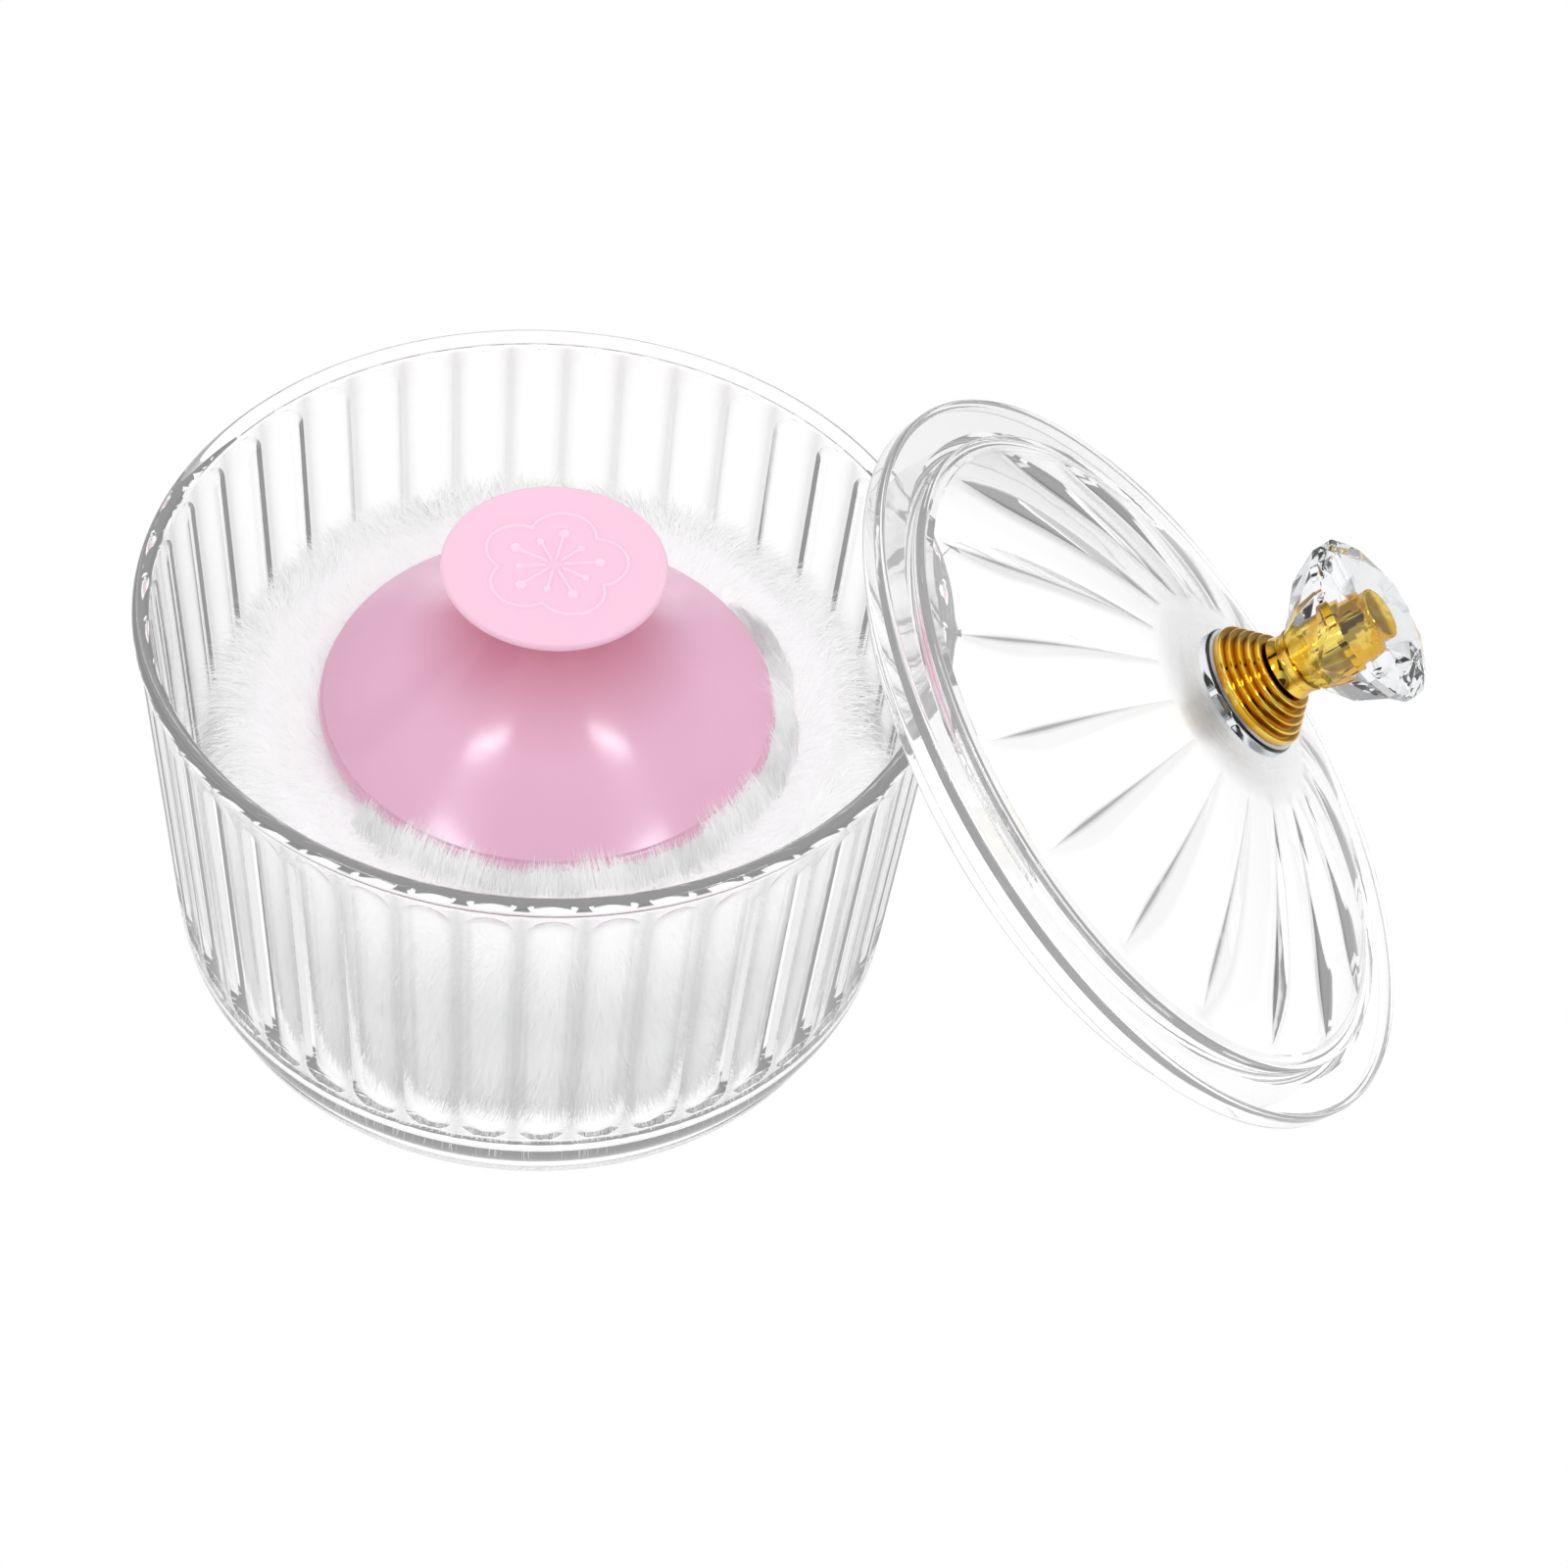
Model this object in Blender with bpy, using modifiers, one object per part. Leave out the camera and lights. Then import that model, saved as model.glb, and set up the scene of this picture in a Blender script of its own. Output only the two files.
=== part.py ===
"""Loose powder pot with a fluted clear wall, a plush puff inside it, and a domed clear lid
with a crystal knob. The lid is off: it leans on the pot's rim with its lower edge on the table.

Lengths are metres, +Z is up, and the table is at zero height. The pot and the puff are turned
about an upright axis. The lid and its knob are turned about the lid's own axis, and an empty
carries them to where the lid leans. Heights of the pot and the puff are above the table, and
heights of the lid are above the top face of its flange.
"""
import math

import bmesh
import bpy
import numpy as np
from mathutils import Vector

# Clearances shared by all pieces
SEAT_GAP = 0.0003
HOLE_CLEARANCE = 0.0003
CUT_OVERRUN = 0.0010

# Pot
POT_TURN = math.radians(-0.9)
POT_HEIGHT = 0.0585
RIM_RADIUS = 0.0500
RIM_BEAD = 0.00045
POT_WALL = 0.0017
WALL_TAPER = 0.0037
HEEL_RADIUS = RIM_RADIUS - WALL_TAPER
HEEL_HEIGHT = 0.0095
FOOT_SET = 0.0026
FOOT_RADIUS = HEEL_RADIUS - FOOT_SET
FOOT_HEIGHT = 0.0036
FOOT_STEP = 0.0003
FOOT_WIDTH = 0.0026
FOOT_EDGE = 0.0004
FOOT_RECESS = 0.0018
FLOOR_HEIGHT = 0.0050
FLOOR_HEEL = 0.0052

# Flutes round the outside of the pot's wall
FLUTE_COUNT = 42
FLUTE_DEPTH = 0.0006
FLUTE_LAND = 0.0007
FLUTE_TOP_MARGIN = 0.0029
FLUTE_FOOT_MARGIN = 0.0010
FLUTE_OVERCUT = 0.00008

# Lid shell, which drops over the rim with its skirt and into it with its plug
SKIRT_CLEARANCE = 0.00035
SKIRT_WALL = 0.00105
SKIRT_DEPTH = 0.0035
FLANGE_RADIUS = RIM_RADIUS + SKIRT_CLEARANCE + SKIRT_WALL
FLANGE_THICKNESS = 0.0018
FLANGE_EDGE = 0.0005
FLANGE_BAND = 0.0061
PLUG_CLEARANCE = 0.00125
PLUG_RADIUS = RIM_RADIUS - RIM_BEAD - POT_WALL - PLUG_CLEARANCE
PLUG_WALL = 0.0014
PLUG_DEPTH = 0.0074
STEP_RADIUS = FLANGE_RADIUS - FLANGE_BAND
STEP_HEIGHT = 0.0012
STEP_WIDTH = 0.0018
STEP_EDGE = 0.0004
HUB_RADIUS = 0.0096
HUB_HEIGHT = 0.0143
HUB_THICKNESS = 0.0026
DOME_WALL = 0.0018
DOME_BULGE = math.radians(10.0)
LID_LEAN = math.radians(42.9)
LID_TURN = math.radians(-5.6)

# Leaf-shaped cuts in the dome
LEAF_COUNT = 18
LEAF_HALF_WIDTH = 0.0026
LEAF_DEPTH = 0.0009
LEAF_OUTER_MARGIN = 0.0010
LEAF_INNER_MARGIN = 0.0054
LEAF_OVERCUT = 0.00015
LEAF_STATION_SHARES = [0.0, 0.1, 0.24, 0.45, 0.7, 0.88, 1.0]
LEAF_WIDTH_SHARES = [0.04, 0.52, 1.0, 0.78, 0.46, 0.2, 0.04]

# Knob
COLLAR_RADIUS = 0.0088
COLLAR_HEIGHT = 0.0014
COLLAR_EDGE = 0.0004
ROSETTE_RADIUS = 0.0083
ROSETTE_TOP_RADIUS = 0.0052
ROSETTE_HEIGHT = 0.0048
ROSETTE_PLATE = 0.0012
ROSETTE_RINGS = 4
STEM_RADIUS = 0.0043
STEM_WAIST = 0.0002
STEM_SHOW = 0.0030
INSERT_RADIUS = 0.0034
INSERT_LENGTH = 0.0100
CRYSTAL_HEIGHT = 0.0123
CRYSTAL_SIDES = 8
CRYSTAL_GIRDLE_RADIUS = 0.0111
CRYSTAL_NECK_WALL = 0.0007
CRYSTAL_NECK_RADIUS = INSERT_RADIUS + HOLE_CLEARANCE + CRYSTAL_NECK_WALL
CRYSTAL_BREAK_RADIUS = 0.0090
CRYSTAL_STAR_RADIUS = 0.0094
CRYSTAL_TABLE_RADIUS = 0.0070
CRYSTAL_BREAK_SHARE = 0.37
CRYSTAL_GIRDLE_LOW_SHARE = 0.74
CRYSTAL_GIRDLE_HIGH_SHARE = 0.83
CRYSTAL_STAR_SHARE = 0.93
CRYSTAL_RELIEF = 0.0004
SCREW_RADIUS = 0.0015
SCREW_REACH = 0.0060
SCREW_HEAD_RADIUS = 0.0029
SCREW_HEAD_HEIGHT = 0.0018
SCREW_SLOT_WIDTH = 0.0007
SCREW_SLOT_DEPTH = 0.0008
WASHER_RADIUS = 0.0042
WASHER_THICKNESS = 0.0008

# Puff, which lies a little off the pot's middle
PUFF_SHIFT = 0.0008
PLUSH_CLEARANCE = 0.0032
PLUSH_TOP = 0.0387
PLUSH_WIDEST = 0.0225
PLUSH_CROWN_RADIUS = 0.0345
PLUSH_SOLE_RADIUS = 0.0270
PLUSH_MOUTH_RADIUS = 0.0200
PLUSH_DIP = 0.0010
FABRIC = 0.0019
PLUSH_SIDE = 0.0112
POCKET_FLOOR = 0.0140
PLATE_RADIUS = 0.0250
PLATE_THICKNESS = 0.0015
PUFF_SCREW_RADIUS = 0.0013
PUFF_SCREW_HEAD_RADIUS = 0.0030
PUFF_SCREW_HEAD_HEIGHT = 0.0016
PUFF_SCREW_LENGTH = 0.0098

# Handle of the puff
BELL_RADIUS = 0.0286
BELL_HEIGHT = 0.0229
BELL_WALL = 0.0016
BELL_EDGE = 0.0022
NECK_RADIUS = 0.0068
BELL_FLARE_SHARE = 0.42
BOSS_RADIUS = 0.0050
SPIGOT_RADIUS = 0.0034
SPIGOT_LENGTH = 0.0046
CAP_RADIUS = 0.0138
CAP_THICKNESS = 0.0021
CAP_EDGE = 0.0005
CAP_DISH = 0.0003
CAP_UNDERCUT = 0.0018

# Fineness of the turned pieces
POT_STEPS = 2 * FLUTE_COUNT
LID_STEPS = 3 * LEAF_COUNT
SOFT_STEPS = 40
ROUND_STEPS = 28
SMALL_STEPS = 16
SHARP_ANGLE = math.radians(32.0)


def clear_scene():
    for item in list(bpy.data.objects):
        bpy.data.objects.remove(item, do_unlink=True)


def make_collection(name):
    collection = bpy.data.collections.new(name)
    bpy.context.scene.collection.children.link(collection)
    return collection


def make_material(name, color, roughness, metallic=0.0, transmission=0.0):
    material = bpy.data.materials.new(name)
    material.use_nodes = True
    shader = material.node_tree.nodes["Principled BSDF"]
    shader.inputs["Base Color"].default_value = (*color, 1.0)
    shader.inputs["Roughness"].default_value = roughness
    shader.inputs["Metallic"].default_value = metallic
    shader.inputs["Transmission Weight"].default_value = transmission
    return material


def clear_plastic(name):
    return make_material(name, (0.93, 0.95, 0.96), 0.05, transmission=1.0)


def polished_gold(name):
    return make_material(name, (0.83, 0.55, 0.14), 0.12, metallic=1.0)


def zinc_steel(name):
    return make_material(name, (0.62, 0.62, 0.60), 0.30, metallic=1.0)


def pink_plastic(name, color):
    return make_material(name, color, 0.22)


def arc(centre_r, centre_z, radius_r, radius_z, start, end, count):
    """Points of an ellipse arc in the profile plane, angles in degrees from +X."""
    angles = np.radians(np.linspace(start, end, count))
    return [(centre_r + radius_r * math.cos(a), centre_z + radius_z * math.sin(a)) for a in angles]


def turned(name, outline, steps, collection, closed=False):
    """A solid of revolution. The outline runs down its outer side, and it is closed either by
    its two ends on the axis or, on a ring, by joining its last point to its first."""
    mesh = bpy.data.meshes.new(name)
    edges = [(i, i + 1) for i in range(len(outline) - 1)]
    if closed:
        edges.append((len(outline) - 1, 0))
    mesh.from_pydata([(r, 0.0, z) for r, z in outline], edges, [])
    obj = bpy.data.objects.new(name, mesh)
    collection.objects.link(obj)
    screw = obj.modifiers.new("Turn", "SCREW")
    screw.axis = "Z"
    screw.steps = steps
    screw.render_steps = steps
    screw.use_merge_vertices = True
    screw.merge_threshold = SEAT_GAP / 100
    screw.use_smooth_shade = True
    return obj


def as_mesh(obj):
    """Gives the object its evaluated mesh, welded, in place of its modifiers."""
    graph = bpy.context.evaluated_depsgraph_get()
    mesh = bpy.data.meshes.new_from_object(obj.evaluated_get(graph))
    obj.modifiers.clear()
    obj.data = mesh
    work = bmesh.new()
    work.from_mesh(mesh)
    bmesh.ops.remove_doubles(work, verts=work.verts, dist=SEAT_GAP / 100)
    work.to_mesh(mesh)
    work.free()


def loft(sections, bm):
    """Adds a closed lump that runs through sections with equal numbers of points."""
    rings = [[bm.verts.new(point) for point in section] for section in sections]
    count = len(rings[0])
    faces = []
    for low, high in zip(rings, rings[1:]):
        for i in range(count):
            j = (i + 1) % count
            faces.append(bm.faces.new((low[i], low[j], high[j], high[i])))
    faces.append(bm.faces.new(list(reversed(rings[0]))))
    faces.append(bm.faces.new(rings[-1]))
    bmesh.ops.recalc_face_normals(bm, faces=faces)


def cutter_from(bm, name, cutters):
    mesh = bpy.data.meshes.new(name)
    bm.to_mesh(mesh)
    bm.free()
    obj = bpy.data.objects.new(name, mesh)
    cutters.objects.link(obj)
    obj.display_type = "WIRE"
    obj.hide_render = True
    return obj


def cut(obj, cutter):
    boolean = obj.modifiers.new("Cut", "BOOLEAN")
    boolean.operation = "DIFFERENCE"
    boolean.solver = "EXACT"
    boolean.object = cutter


def finish(obj, material):
    obj.data.materials.clear()
    obj.data.materials.append(material)
    obj.data.shade_smooth()
    obj.data.set_sharp_from_angle(angle=SHARP_ANGLE)


def rim_inner_radius():
    return RIM_RADIUS - RIM_BEAD - POT_WALL


def bead_radius():
    return (RIM_RADIUS - rim_inner_radius()) / 2


def bead_foot():
    return POT_HEIGHT - 2 * bead_radius()


def wall_radius(height):
    """Outer radius of the pot's tapered wall between the heel and the bead."""
    share = (height - HEEL_HEIGHT) / (bead_foot() - HEEL_HEIGHT)
    return HEEL_RADIUS + share * (RIM_RADIUS - RIM_BEAD - HEEL_RADIUS)


def pot_outline():
    """Half section of the pot: floor, inner wall, bead, outer wall, heel, foot and recess."""
    bead = bead_radius()
    bead_centre = RIM_RADIUS - bead
    inner_heel_top = FLOOR_HEIGHT + FLOOR_HEEL
    inner_heel_radius = wall_radius(inner_heel_top) - POT_WALL
    outline = [(0.0, FLOOR_HEIGHT)]
    outline += arc(inner_heel_radius - FLOOR_HEEL, inner_heel_top, FLOOR_HEEL, FLOOR_HEEL, -90, 0, 4)
    outline += arc(bead_centre, POT_HEIGHT - bead, bead, bead, 180, -40, 6)
    outline += [(wall_radius(bead_foot()), bead_foot())]
    outline += arc(FOOT_RADIUS, HEEL_HEIGHT, HEEL_RADIUS - FOOT_RADIUS, HEEL_HEIGHT - FOOT_HEIGHT, 0, -80, 4)
    outline += [(FOOT_RADIUS, FOOT_HEIGHT), (FOOT_RADIUS - FOOT_STEP, FOOT_HEIGHT - FOOT_STEP)]
    outline += arc(FOOT_RADIUS - FOOT_STEP - FOOT_EDGE, FOOT_EDGE, FOOT_EDGE, FOOT_EDGE, 0, -90, 2)
    inner_foot = FOOT_RADIUS - FOOT_STEP - FOOT_WIDTH
    outline += [(inner_foot, 0.0), (inner_foot - FOOT_EDGE, FOOT_RECESS), (0.0, FOOT_RECESS)]
    return outline


def flute_sections(turn):
    """Sections of one flute's cutter, from its round foot to its round top."""
    low = HEEL_HEIGHT + FLUTE_FOOT_MARGIN
    high = POT_HEIGHT - FLUTE_TOP_MARGIN
    half_low = (2 * math.pi * wall_radius(low) / FLUTE_COUNT - FLUTE_LAND) / 2
    half_high = (2 * math.pi * wall_radius(high) / FLUTE_COUNT - FLUTE_LAND) / 2
    stations = [(low + half_low * (1 - math.cos(a)), math.sin(a)) for a in np.radians([15, 45, 90])]
    stations += [(high - half_high * (1 - math.sin(a)), math.cos(a)) for a in np.radians([0, 45, 75])]
    reach_shares = np.linspace(-1.0, 1.0, 5)
    sections = []
    for height, arch in stations:
        radius = wall_radius(height)
        half = (2 * math.pi * radius / FLUTE_COUNT - FLUTE_LAND) / 2 * arch
        depth = FLUTE_DEPTH * arch
        edge_share = math.sqrt(1 + FLUTE_OVERCUT / depth)
        section = []
        for share in reach_shares * edge_share:
            angle = turn + half * share / radius
            reach = radius - depth * (1 - share * share)
            section.append((reach * math.cos(angle), reach * math.sin(angle), height))
        crest = radius + 2 * FLUTE_OVERCUT
        section.append((crest * math.cos(turn), crest * math.sin(turn), height))
        sections.append(section)
    return sections


def make_pot(parts, cutters):
    pot = turned("pot", pot_outline(), POT_STEPS, parts)
    as_mesh(pot)
    bm = bmesh.new()
    for index in range(FLUTE_COUNT):
        loft(flute_sections(2 * math.pi * index / FLUTE_COUNT), bm)
    cut(pot, cutter_from(bm, "pot_flutes", cutters))
    as_mesh(pot)
    finish(pot, clear_plastic("pot clear plastic"))
    return pot


def dome_start():
    """Radius at which the dome leaves the step ring."""
    return STEP_RADIUS - STEP_WIDTH


def dome_arc():
    """Centre and radius, in the profile plane, of the arc from the hub's edge to the step."""
    run = dome_start() - HUB_RADIUS
    rise = HUB_HEIGHT - STEP_HEIGHT
    chord = math.hypot(run, rise)
    radius = chord / (2 * math.sin(DOME_BULGE))
    middle = Vector(((dome_start() + HUB_RADIUS) / 2, (HUB_HEIGHT + STEP_HEIGHT) / 2))
    inward = Vector((-rise, -run)) / chord
    centre = middle + inward * radius * math.cos(DOME_BULGE)
    return centre, radius


def dome_point(radius_out, lift=0.0):
    """Point of the dome's top face at a distance from the lid's axis, lifted along its normal."""
    centre, radius = dome_arc()
    rise = math.sqrt(radius * radius - (radius_out - centre.x) ** 2)
    normal = Vector((radius_out - centre.x, rise)) / radius
    return centre + normal * (radius + lift)


def lid_outline():
    """Closed half section of the lid: hub, dome, step, flange, skirt, plug and undersides."""
    hole = SCREW_RADIUS + HOLE_CLEARANCE
    spread = np.linspace(HUB_RADIUS, dome_start(), 7)
    outline = [(hole, HUB_HEIGHT)] + [tuple(dome_point(r)) for r in spread]
    step_top = STEP_HEIGHT
    outline += arc(STEP_RADIUS - STEP_EDGE, step_top - STEP_EDGE, STEP_EDGE, STEP_EDGE, 90, 0, 2)
    outline += [(STEP_RADIUS, 0.0)]
    outline += arc(FLANGE_RADIUS - FLANGE_EDGE, -FLANGE_EDGE, FLANGE_EDGE, FLANGE_EDGE, 90, 0, 3)
    skirt_inner = RIM_RADIUS + SKIRT_CLEARANCE
    skirt_round = (FLANGE_RADIUS - skirt_inner) / 2
    outline += arc(FLANGE_RADIUS - skirt_round, skirt_round - SKIRT_DEPTH, skirt_round, skirt_round, 0, -180, 4)
    outline += [(skirt_inner, -FLANGE_THICKNESS), (PLUG_RADIUS, -FLANGE_THICKNESS)]
    lip = PLUG_WALL / 2
    outline += arc(PLUG_RADIUS - lip, lip - PLUG_DEPTH, lip, lip, 0, -180, 4)
    underside = [dome_point(r, -DOME_WALL) for r in spread[::-1]]
    inner = PLUG_RADIUS - PLUG_WALL
    below_hub = HUB_HEIGHT - HUB_THICKNESS
    root = next(point.y for point in underside if point.x < inner - DOME_WALL)
    outline += [(inner, min(root - DOME_WALL, 0.0)), (inner - DOME_WALL / 2, root - DOME_WALL / 2)]
    outline += [tuple(point) for point in underside if point.x < inner - DOME_WALL and point.y < below_hub]
    outline += [(HUB_RADIUS - DOME_WALL, below_hub), (hole, below_hub)]
    return outline


def leaf_sections(turn):
    """Sections of one leaf's cutter: a shallow V that follows the dome, pointed at both ends."""
    tip = dome_start() - LEAF_OUTER_MARGIN
    length = tip - HUB_RADIUS - LEAF_INNER_MARGIN
    sections = []
    for station, share in zip(LEAF_STATION_SHARES, LEAF_WIDTH_SHARES):
        out = tip - length * station
        half = LEAF_HALF_WIDTH * share
        depth = LEAF_DEPTH * share
        edge = half * (1 + LEAF_OVERCUT / depth)
        section = []
        corners = ((-edge, LEAF_OVERCUT), (0.0, -depth), (edge, LEAF_OVERCUT), (0.0, 2 * LEAF_OVERCUT))
        for side, lift in corners:
            point = dome_point(out, lift)
            x = point.x * math.cos(turn) - side * math.sin(turn)
            y = point.x * math.sin(turn) + side * math.cos(turn)
            section.append((x, y, point.y))
        sections.append(section)
    return sections


def make_lid(parts, cutters):
    lid = turned("lid_shell", lid_outline(), LID_STEPS, parts, closed=True)
    as_mesh(lid)
    bm = bmesh.new()
    for index in range(LEAF_COUNT):
        loft(leaf_sections(2 * math.pi * index / LEAF_COUNT), bm)
    cut(lid, cutter_from(bm, "lid_leaves", cutters))
    as_mesh(lid)
    finish(lid, clear_plastic("lid clear plastic"))
    return lid


def collar_foot():
    return HUB_HEIGHT + SEAT_GAP


def rosette_foot():
    return collar_foot() + COLLAR_HEIGHT + SEAT_GAP


def stem_foot():
    return rosette_foot() + ROSETTE_HEIGHT + SEAT_GAP


def crystal_foot():
    return stem_foot() + STEM_SHOW


def make_collar(parts):
    hole = SCREW_RADIUS + HOLE_CLEARANCE
    foot = collar_foot()
    top = foot + COLLAR_HEIGHT
    outline = [(hole, top)]
    outline += arc(COLLAR_RADIUS - COLLAR_EDGE, top - COLLAR_EDGE, COLLAR_EDGE, COLLAR_EDGE, 90, 0, 3)
    outline += [(COLLAR_RADIUS, foot), (hole, foot)]
    collar = turned("knob_collar", outline, ROUND_STEPS, parts, closed=True)
    finish(collar, clear_plastic("collar clear plastic"))
    return collar


def make_rosette(parts):
    """Stepped base of the knob: a flat-sided plate, then smaller and smaller rings with round edges."""
    hole = SCREW_RADIUS + HOLE_CLEARANCE
    foot = rosette_foot()
    ring = (ROSETTE_HEIGHT - ROSETTE_PLATE) / ROSETTE_RINGS
    plate_round = ROSETTE_PLATE / 3
    outline = [(hole, foot + ROSETTE_HEIGHT)]
    for index in reversed(range(ROSETTE_RINGS)):
        share = (index + 1) / ROSETTE_RINGS
        radius = ROSETTE_RADIUS + share * (ROSETTE_TOP_RADIUS - ROSETTE_RADIUS)
        middle = foot + ROSETTE_PLATE + ring * (index + 0.5)
        outline += arc(radius - ring / 2, middle, ring / 2, ring / 2, 80, -60, 3)
    plate_top = foot + ROSETTE_PLATE
    outline += arc(ROSETTE_RADIUS - plate_round, plate_top - plate_round, plate_round, plate_round, 80, 0, 2)
    outline += [(ROSETTE_RADIUS, foot), (hole, foot)]
    rosette = turned("knob_base", outline, ROUND_STEPS, parts, closed=True)
    finish(rosette, polished_gold("base gold"))
    return rosette


def make_stem(parts):
    """Gold stem: a waisted neck, then the insert that fills the crystal's bore."""
    foot = stem_foot()
    top = crystal_foot() - SEAT_GAP
    waist = STEM_RADIUS - STEM_WAIST
    middle = (foot + top) / 2
    hole = SCREW_RADIUS + HOLE_CLEARANCE
    hole_top = foot + SCREW_REACH + SEAT_GAP
    end = top + INSERT_LENGTH
    outline = [(0.0, end), (INSERT_RADIUS - CRYSTAL_RELIEF, end), (INSERT_RADIUS, end - CRYSTAL_RELIEF)]
    outline += [(INSERT_RADIUS, top), (STEM_RADIUS, top), (waist, middle), (STEM_RADIUS, foot)]
    outline += [(hole, foot), (hole, hole_top), (0.0, hole_top)]
    stem = turned("knob_stem", outline, ROUND_STEPS, parts)
    finish(stem, polished_gold("stem gold"))
    return stem


def ring_points(radius, height, count, turn=0.0):
    step = 2 * math.pi / count
    return [
        (radius * math.cos(turn + step * i), radius * math.sin(turn + step * i), height)
        for i in range(count)
    ]


def make_crystal(parts, cutters):
    """Brilliant-cut knob: the hull of its corner rings gives the facets, and a bore takes the insert."""
    foot = crystal_foot()
    half_turn = math.pi / CRYSTAL_SIDES

    def height(share):
        return foot + CRYSTAL_HEIGHT * share

    corners = ring_points(CRYSTAL_NECK_RADIUS, foot, CRYSTAL_SIDES)
    corners += ring_points(CRYSTAL_BREAK_RADIUS, height(CRYSTAL_BREAK_SHARE), CRYSTAL_SIDES, half_turn)
    for share in (CRYSTAL_GIRDLE_LOW_SHARE, CRYSTAL_GIRDLE_HIGH_SHARE):
        corners += ring_points(CRYSTAL_GIRDLE_RADIUS, height(share), 2 * CRYSTAL_SIDES)
    corners += ring_points(CRYSTAL_STAR_RADIUS, height(CRYSTAL_STAR_SHARE), CRYSTAL_SIDES, half_turn)
    corners += ring_points(CRYSTAL_TABLE_RADIUS, foot + CRYSTAL_HEIGHT, CRYSTAL_SIDES)
    bm = bmesh.new()
    for corner in corners:
        bm.verts.new(corner)
    bmesh.ops.convex_hull(bm, input=bm.verts)
    bmesh.ops.recalc_face_normals(bm, faces=bm.faces)
    mesh = bpy.data.meshes.new("knob_crystal")
    bm.to_mesh(mesh)
    bm.free()
    crystal = bpy.data.objects.new("knob_crystal", mesh)
    parts.objects.link(crystal)

    bore_radius = INSERT_RADIUS + HOLE_CLEARANCE
    bore_top = foot - SEAT_GAP + INSERT_LENGTH + SEAT_GAP
    bore_foot = foot - CUT_OVERRUN
    bore_outline = [(0.0, bore_top), (bore_radius, bore_top), (bore_radius, bore_foot), (0.0, bore_foot)]
    bore = turned("crystal_bore", bore_outline, SMALL_STEPS, cutters)
    as_mesh(bore)
    bore.display_type = "WIRE"
    bore.hide_render = True
    cut(crystal, bore)
    as_mesh(crystal)
    crystal.data.materials.clear()
    crystal.data.materials.append(clear_plastic("crystal"))
    return crystal


def slot_cutter(name, width, depth, length, head_foot, cutters):
    bm = bmesh.new()
    bmesh.ops.create_cube(bm, size=1.0)
    tall = depth + CUT_OVERRUN
    bmesh.ops.scale(bm, vec=(length, width, tall), verts=bm.verts)
    bmesh.ops.translate(bm, vec=(0.0, 0.0, head_foot + depth - tall / 2), verts=bm.verts)
    return cutter_from(bm, name, cutters)


def make_slotted_screw(name, head_radius, head_height, shank_radius, head_top, shank_top, parts, cutters):
    """Pan-head screw that points up, with its driver slot in the head's underside."""
    head_foot = head_top - head_height
    round_off = head_height / 2
    outline = [(0.0, shank_top), (shank_radius, shank_top), (shank_radius, head_top), (head_radius, head_top)]
    outline += arc(head_radius - round_off, head_foot + round_off, round_off, round_off, 0, -90, 3)
    outline += [(0.0, head_foot)]
    screw = turned(name, outline, SMALL_STEPS, parts)
    as_mesh(screw)
    span = 2 * head_radius + CUT_OVERRUN
    cut(screw, slot_cutter(name + "_slot", SCREW_SLOT_WIDTH, SCREW_SLOT_DEPTH, span, head_foot, cutters))
    as_mesh(screw)
    finish(screw, zinc_steel(name + " steel"))
    return screw


def make_washer(parts):
    hole = SCREW_RADIUS + HOLE_CLEARANCE
    top = HUB_HEIGHT - HUB_THICKNESS - SEAT_GAP
    foot = top - WASHER_THICKNESS
    outline = [(hole, top), (WASHER_RADIUS, top), (WASHER_RADIUS, foot), (hole, foot)]
    washer = turned("knob_washer", outline, SMALL_STEPS, parts, closed=True)
    finish(washer, zinc_steel("washer steel"))
    return washer


def make_knob_screw(parts, cutters):
    head_top = HUB_HEIGHT - HUB_THICKNESS - SEAT_GAP - WASHER_THICKNESS - SEAT_GAP
    shank_top = stem_foot() + SCREW_REACH
    return make_slotted_screw(
        "knob_screw", SCREW_HEAD_RADIUS, SCREW_HEAD_HEIGHT, SCREW_RADIUS, head_top, shank_top, parts, cutters
    )


def plush_foot():
    return FLOOR_HEIGHT + SEAT_GAP


def fabric_under():
    """Height of the underside of the fabric round the puff's mouth."""
    return PLUSH_TOP - PLUSH_DIP - FABRIC


def plate_top():
    return fabric_under() - SEAT_GAP


def foam_top():
    return plate_top() - PLATE_THICKNESS - SEAT_GAP


def plush_radius():
    """Widest radius of the plush, a clearance inside the pot's inner wall at that height."""
    return wall_radius(PLUSH_WIDEST) - POT_WALL - PLUSH_CLEARANCE


def pocket_radius():
    return plush_radius() - PLUSH_SIDE


def make_plush(parts):
    """Plush cover: crowned top, full round sides, and a pocket that opens under the handle."""
    foot = plush_foot()
    pocket = pocket_radius()
    outline = [(0.0, POCKET_FLOOR), (pocket, POCKET_FLOOR), (pocket, fabric_under())]
    outline += [(PLUSH_MOUTH_RADIUS, fabric_under()), (PLUSH_MOUTH_RADIUS, PLUSH_TOP - PLUSH_DIP)]
    shoulder = plush_radius() - PLUSH_CROWN_RADIUS
    outline += arc(PLUSH_CROWN_RADIUS, PLUSH_WIDEST, shoulder, PLUSH_TOP - PLUSH_WIDEST, 90, 0, 7)
    lower = plush_radius() - PLUSH_SOLE_RADIUS
    outline += arc(PLUSH_SOLE_RADIUS, PLUSH_WIDEST, lower, PLUSH_WIDEST - foot, 0, -90, 7)[1:]
    outline += [(0.0, foot)]
    plush = turned("puff_plush", outline, SOFT_STEPS, parts)
    finish(plush, make_material("plush white", (0.95, 0.95, 0.97), 0.95))
    return plush


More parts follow.
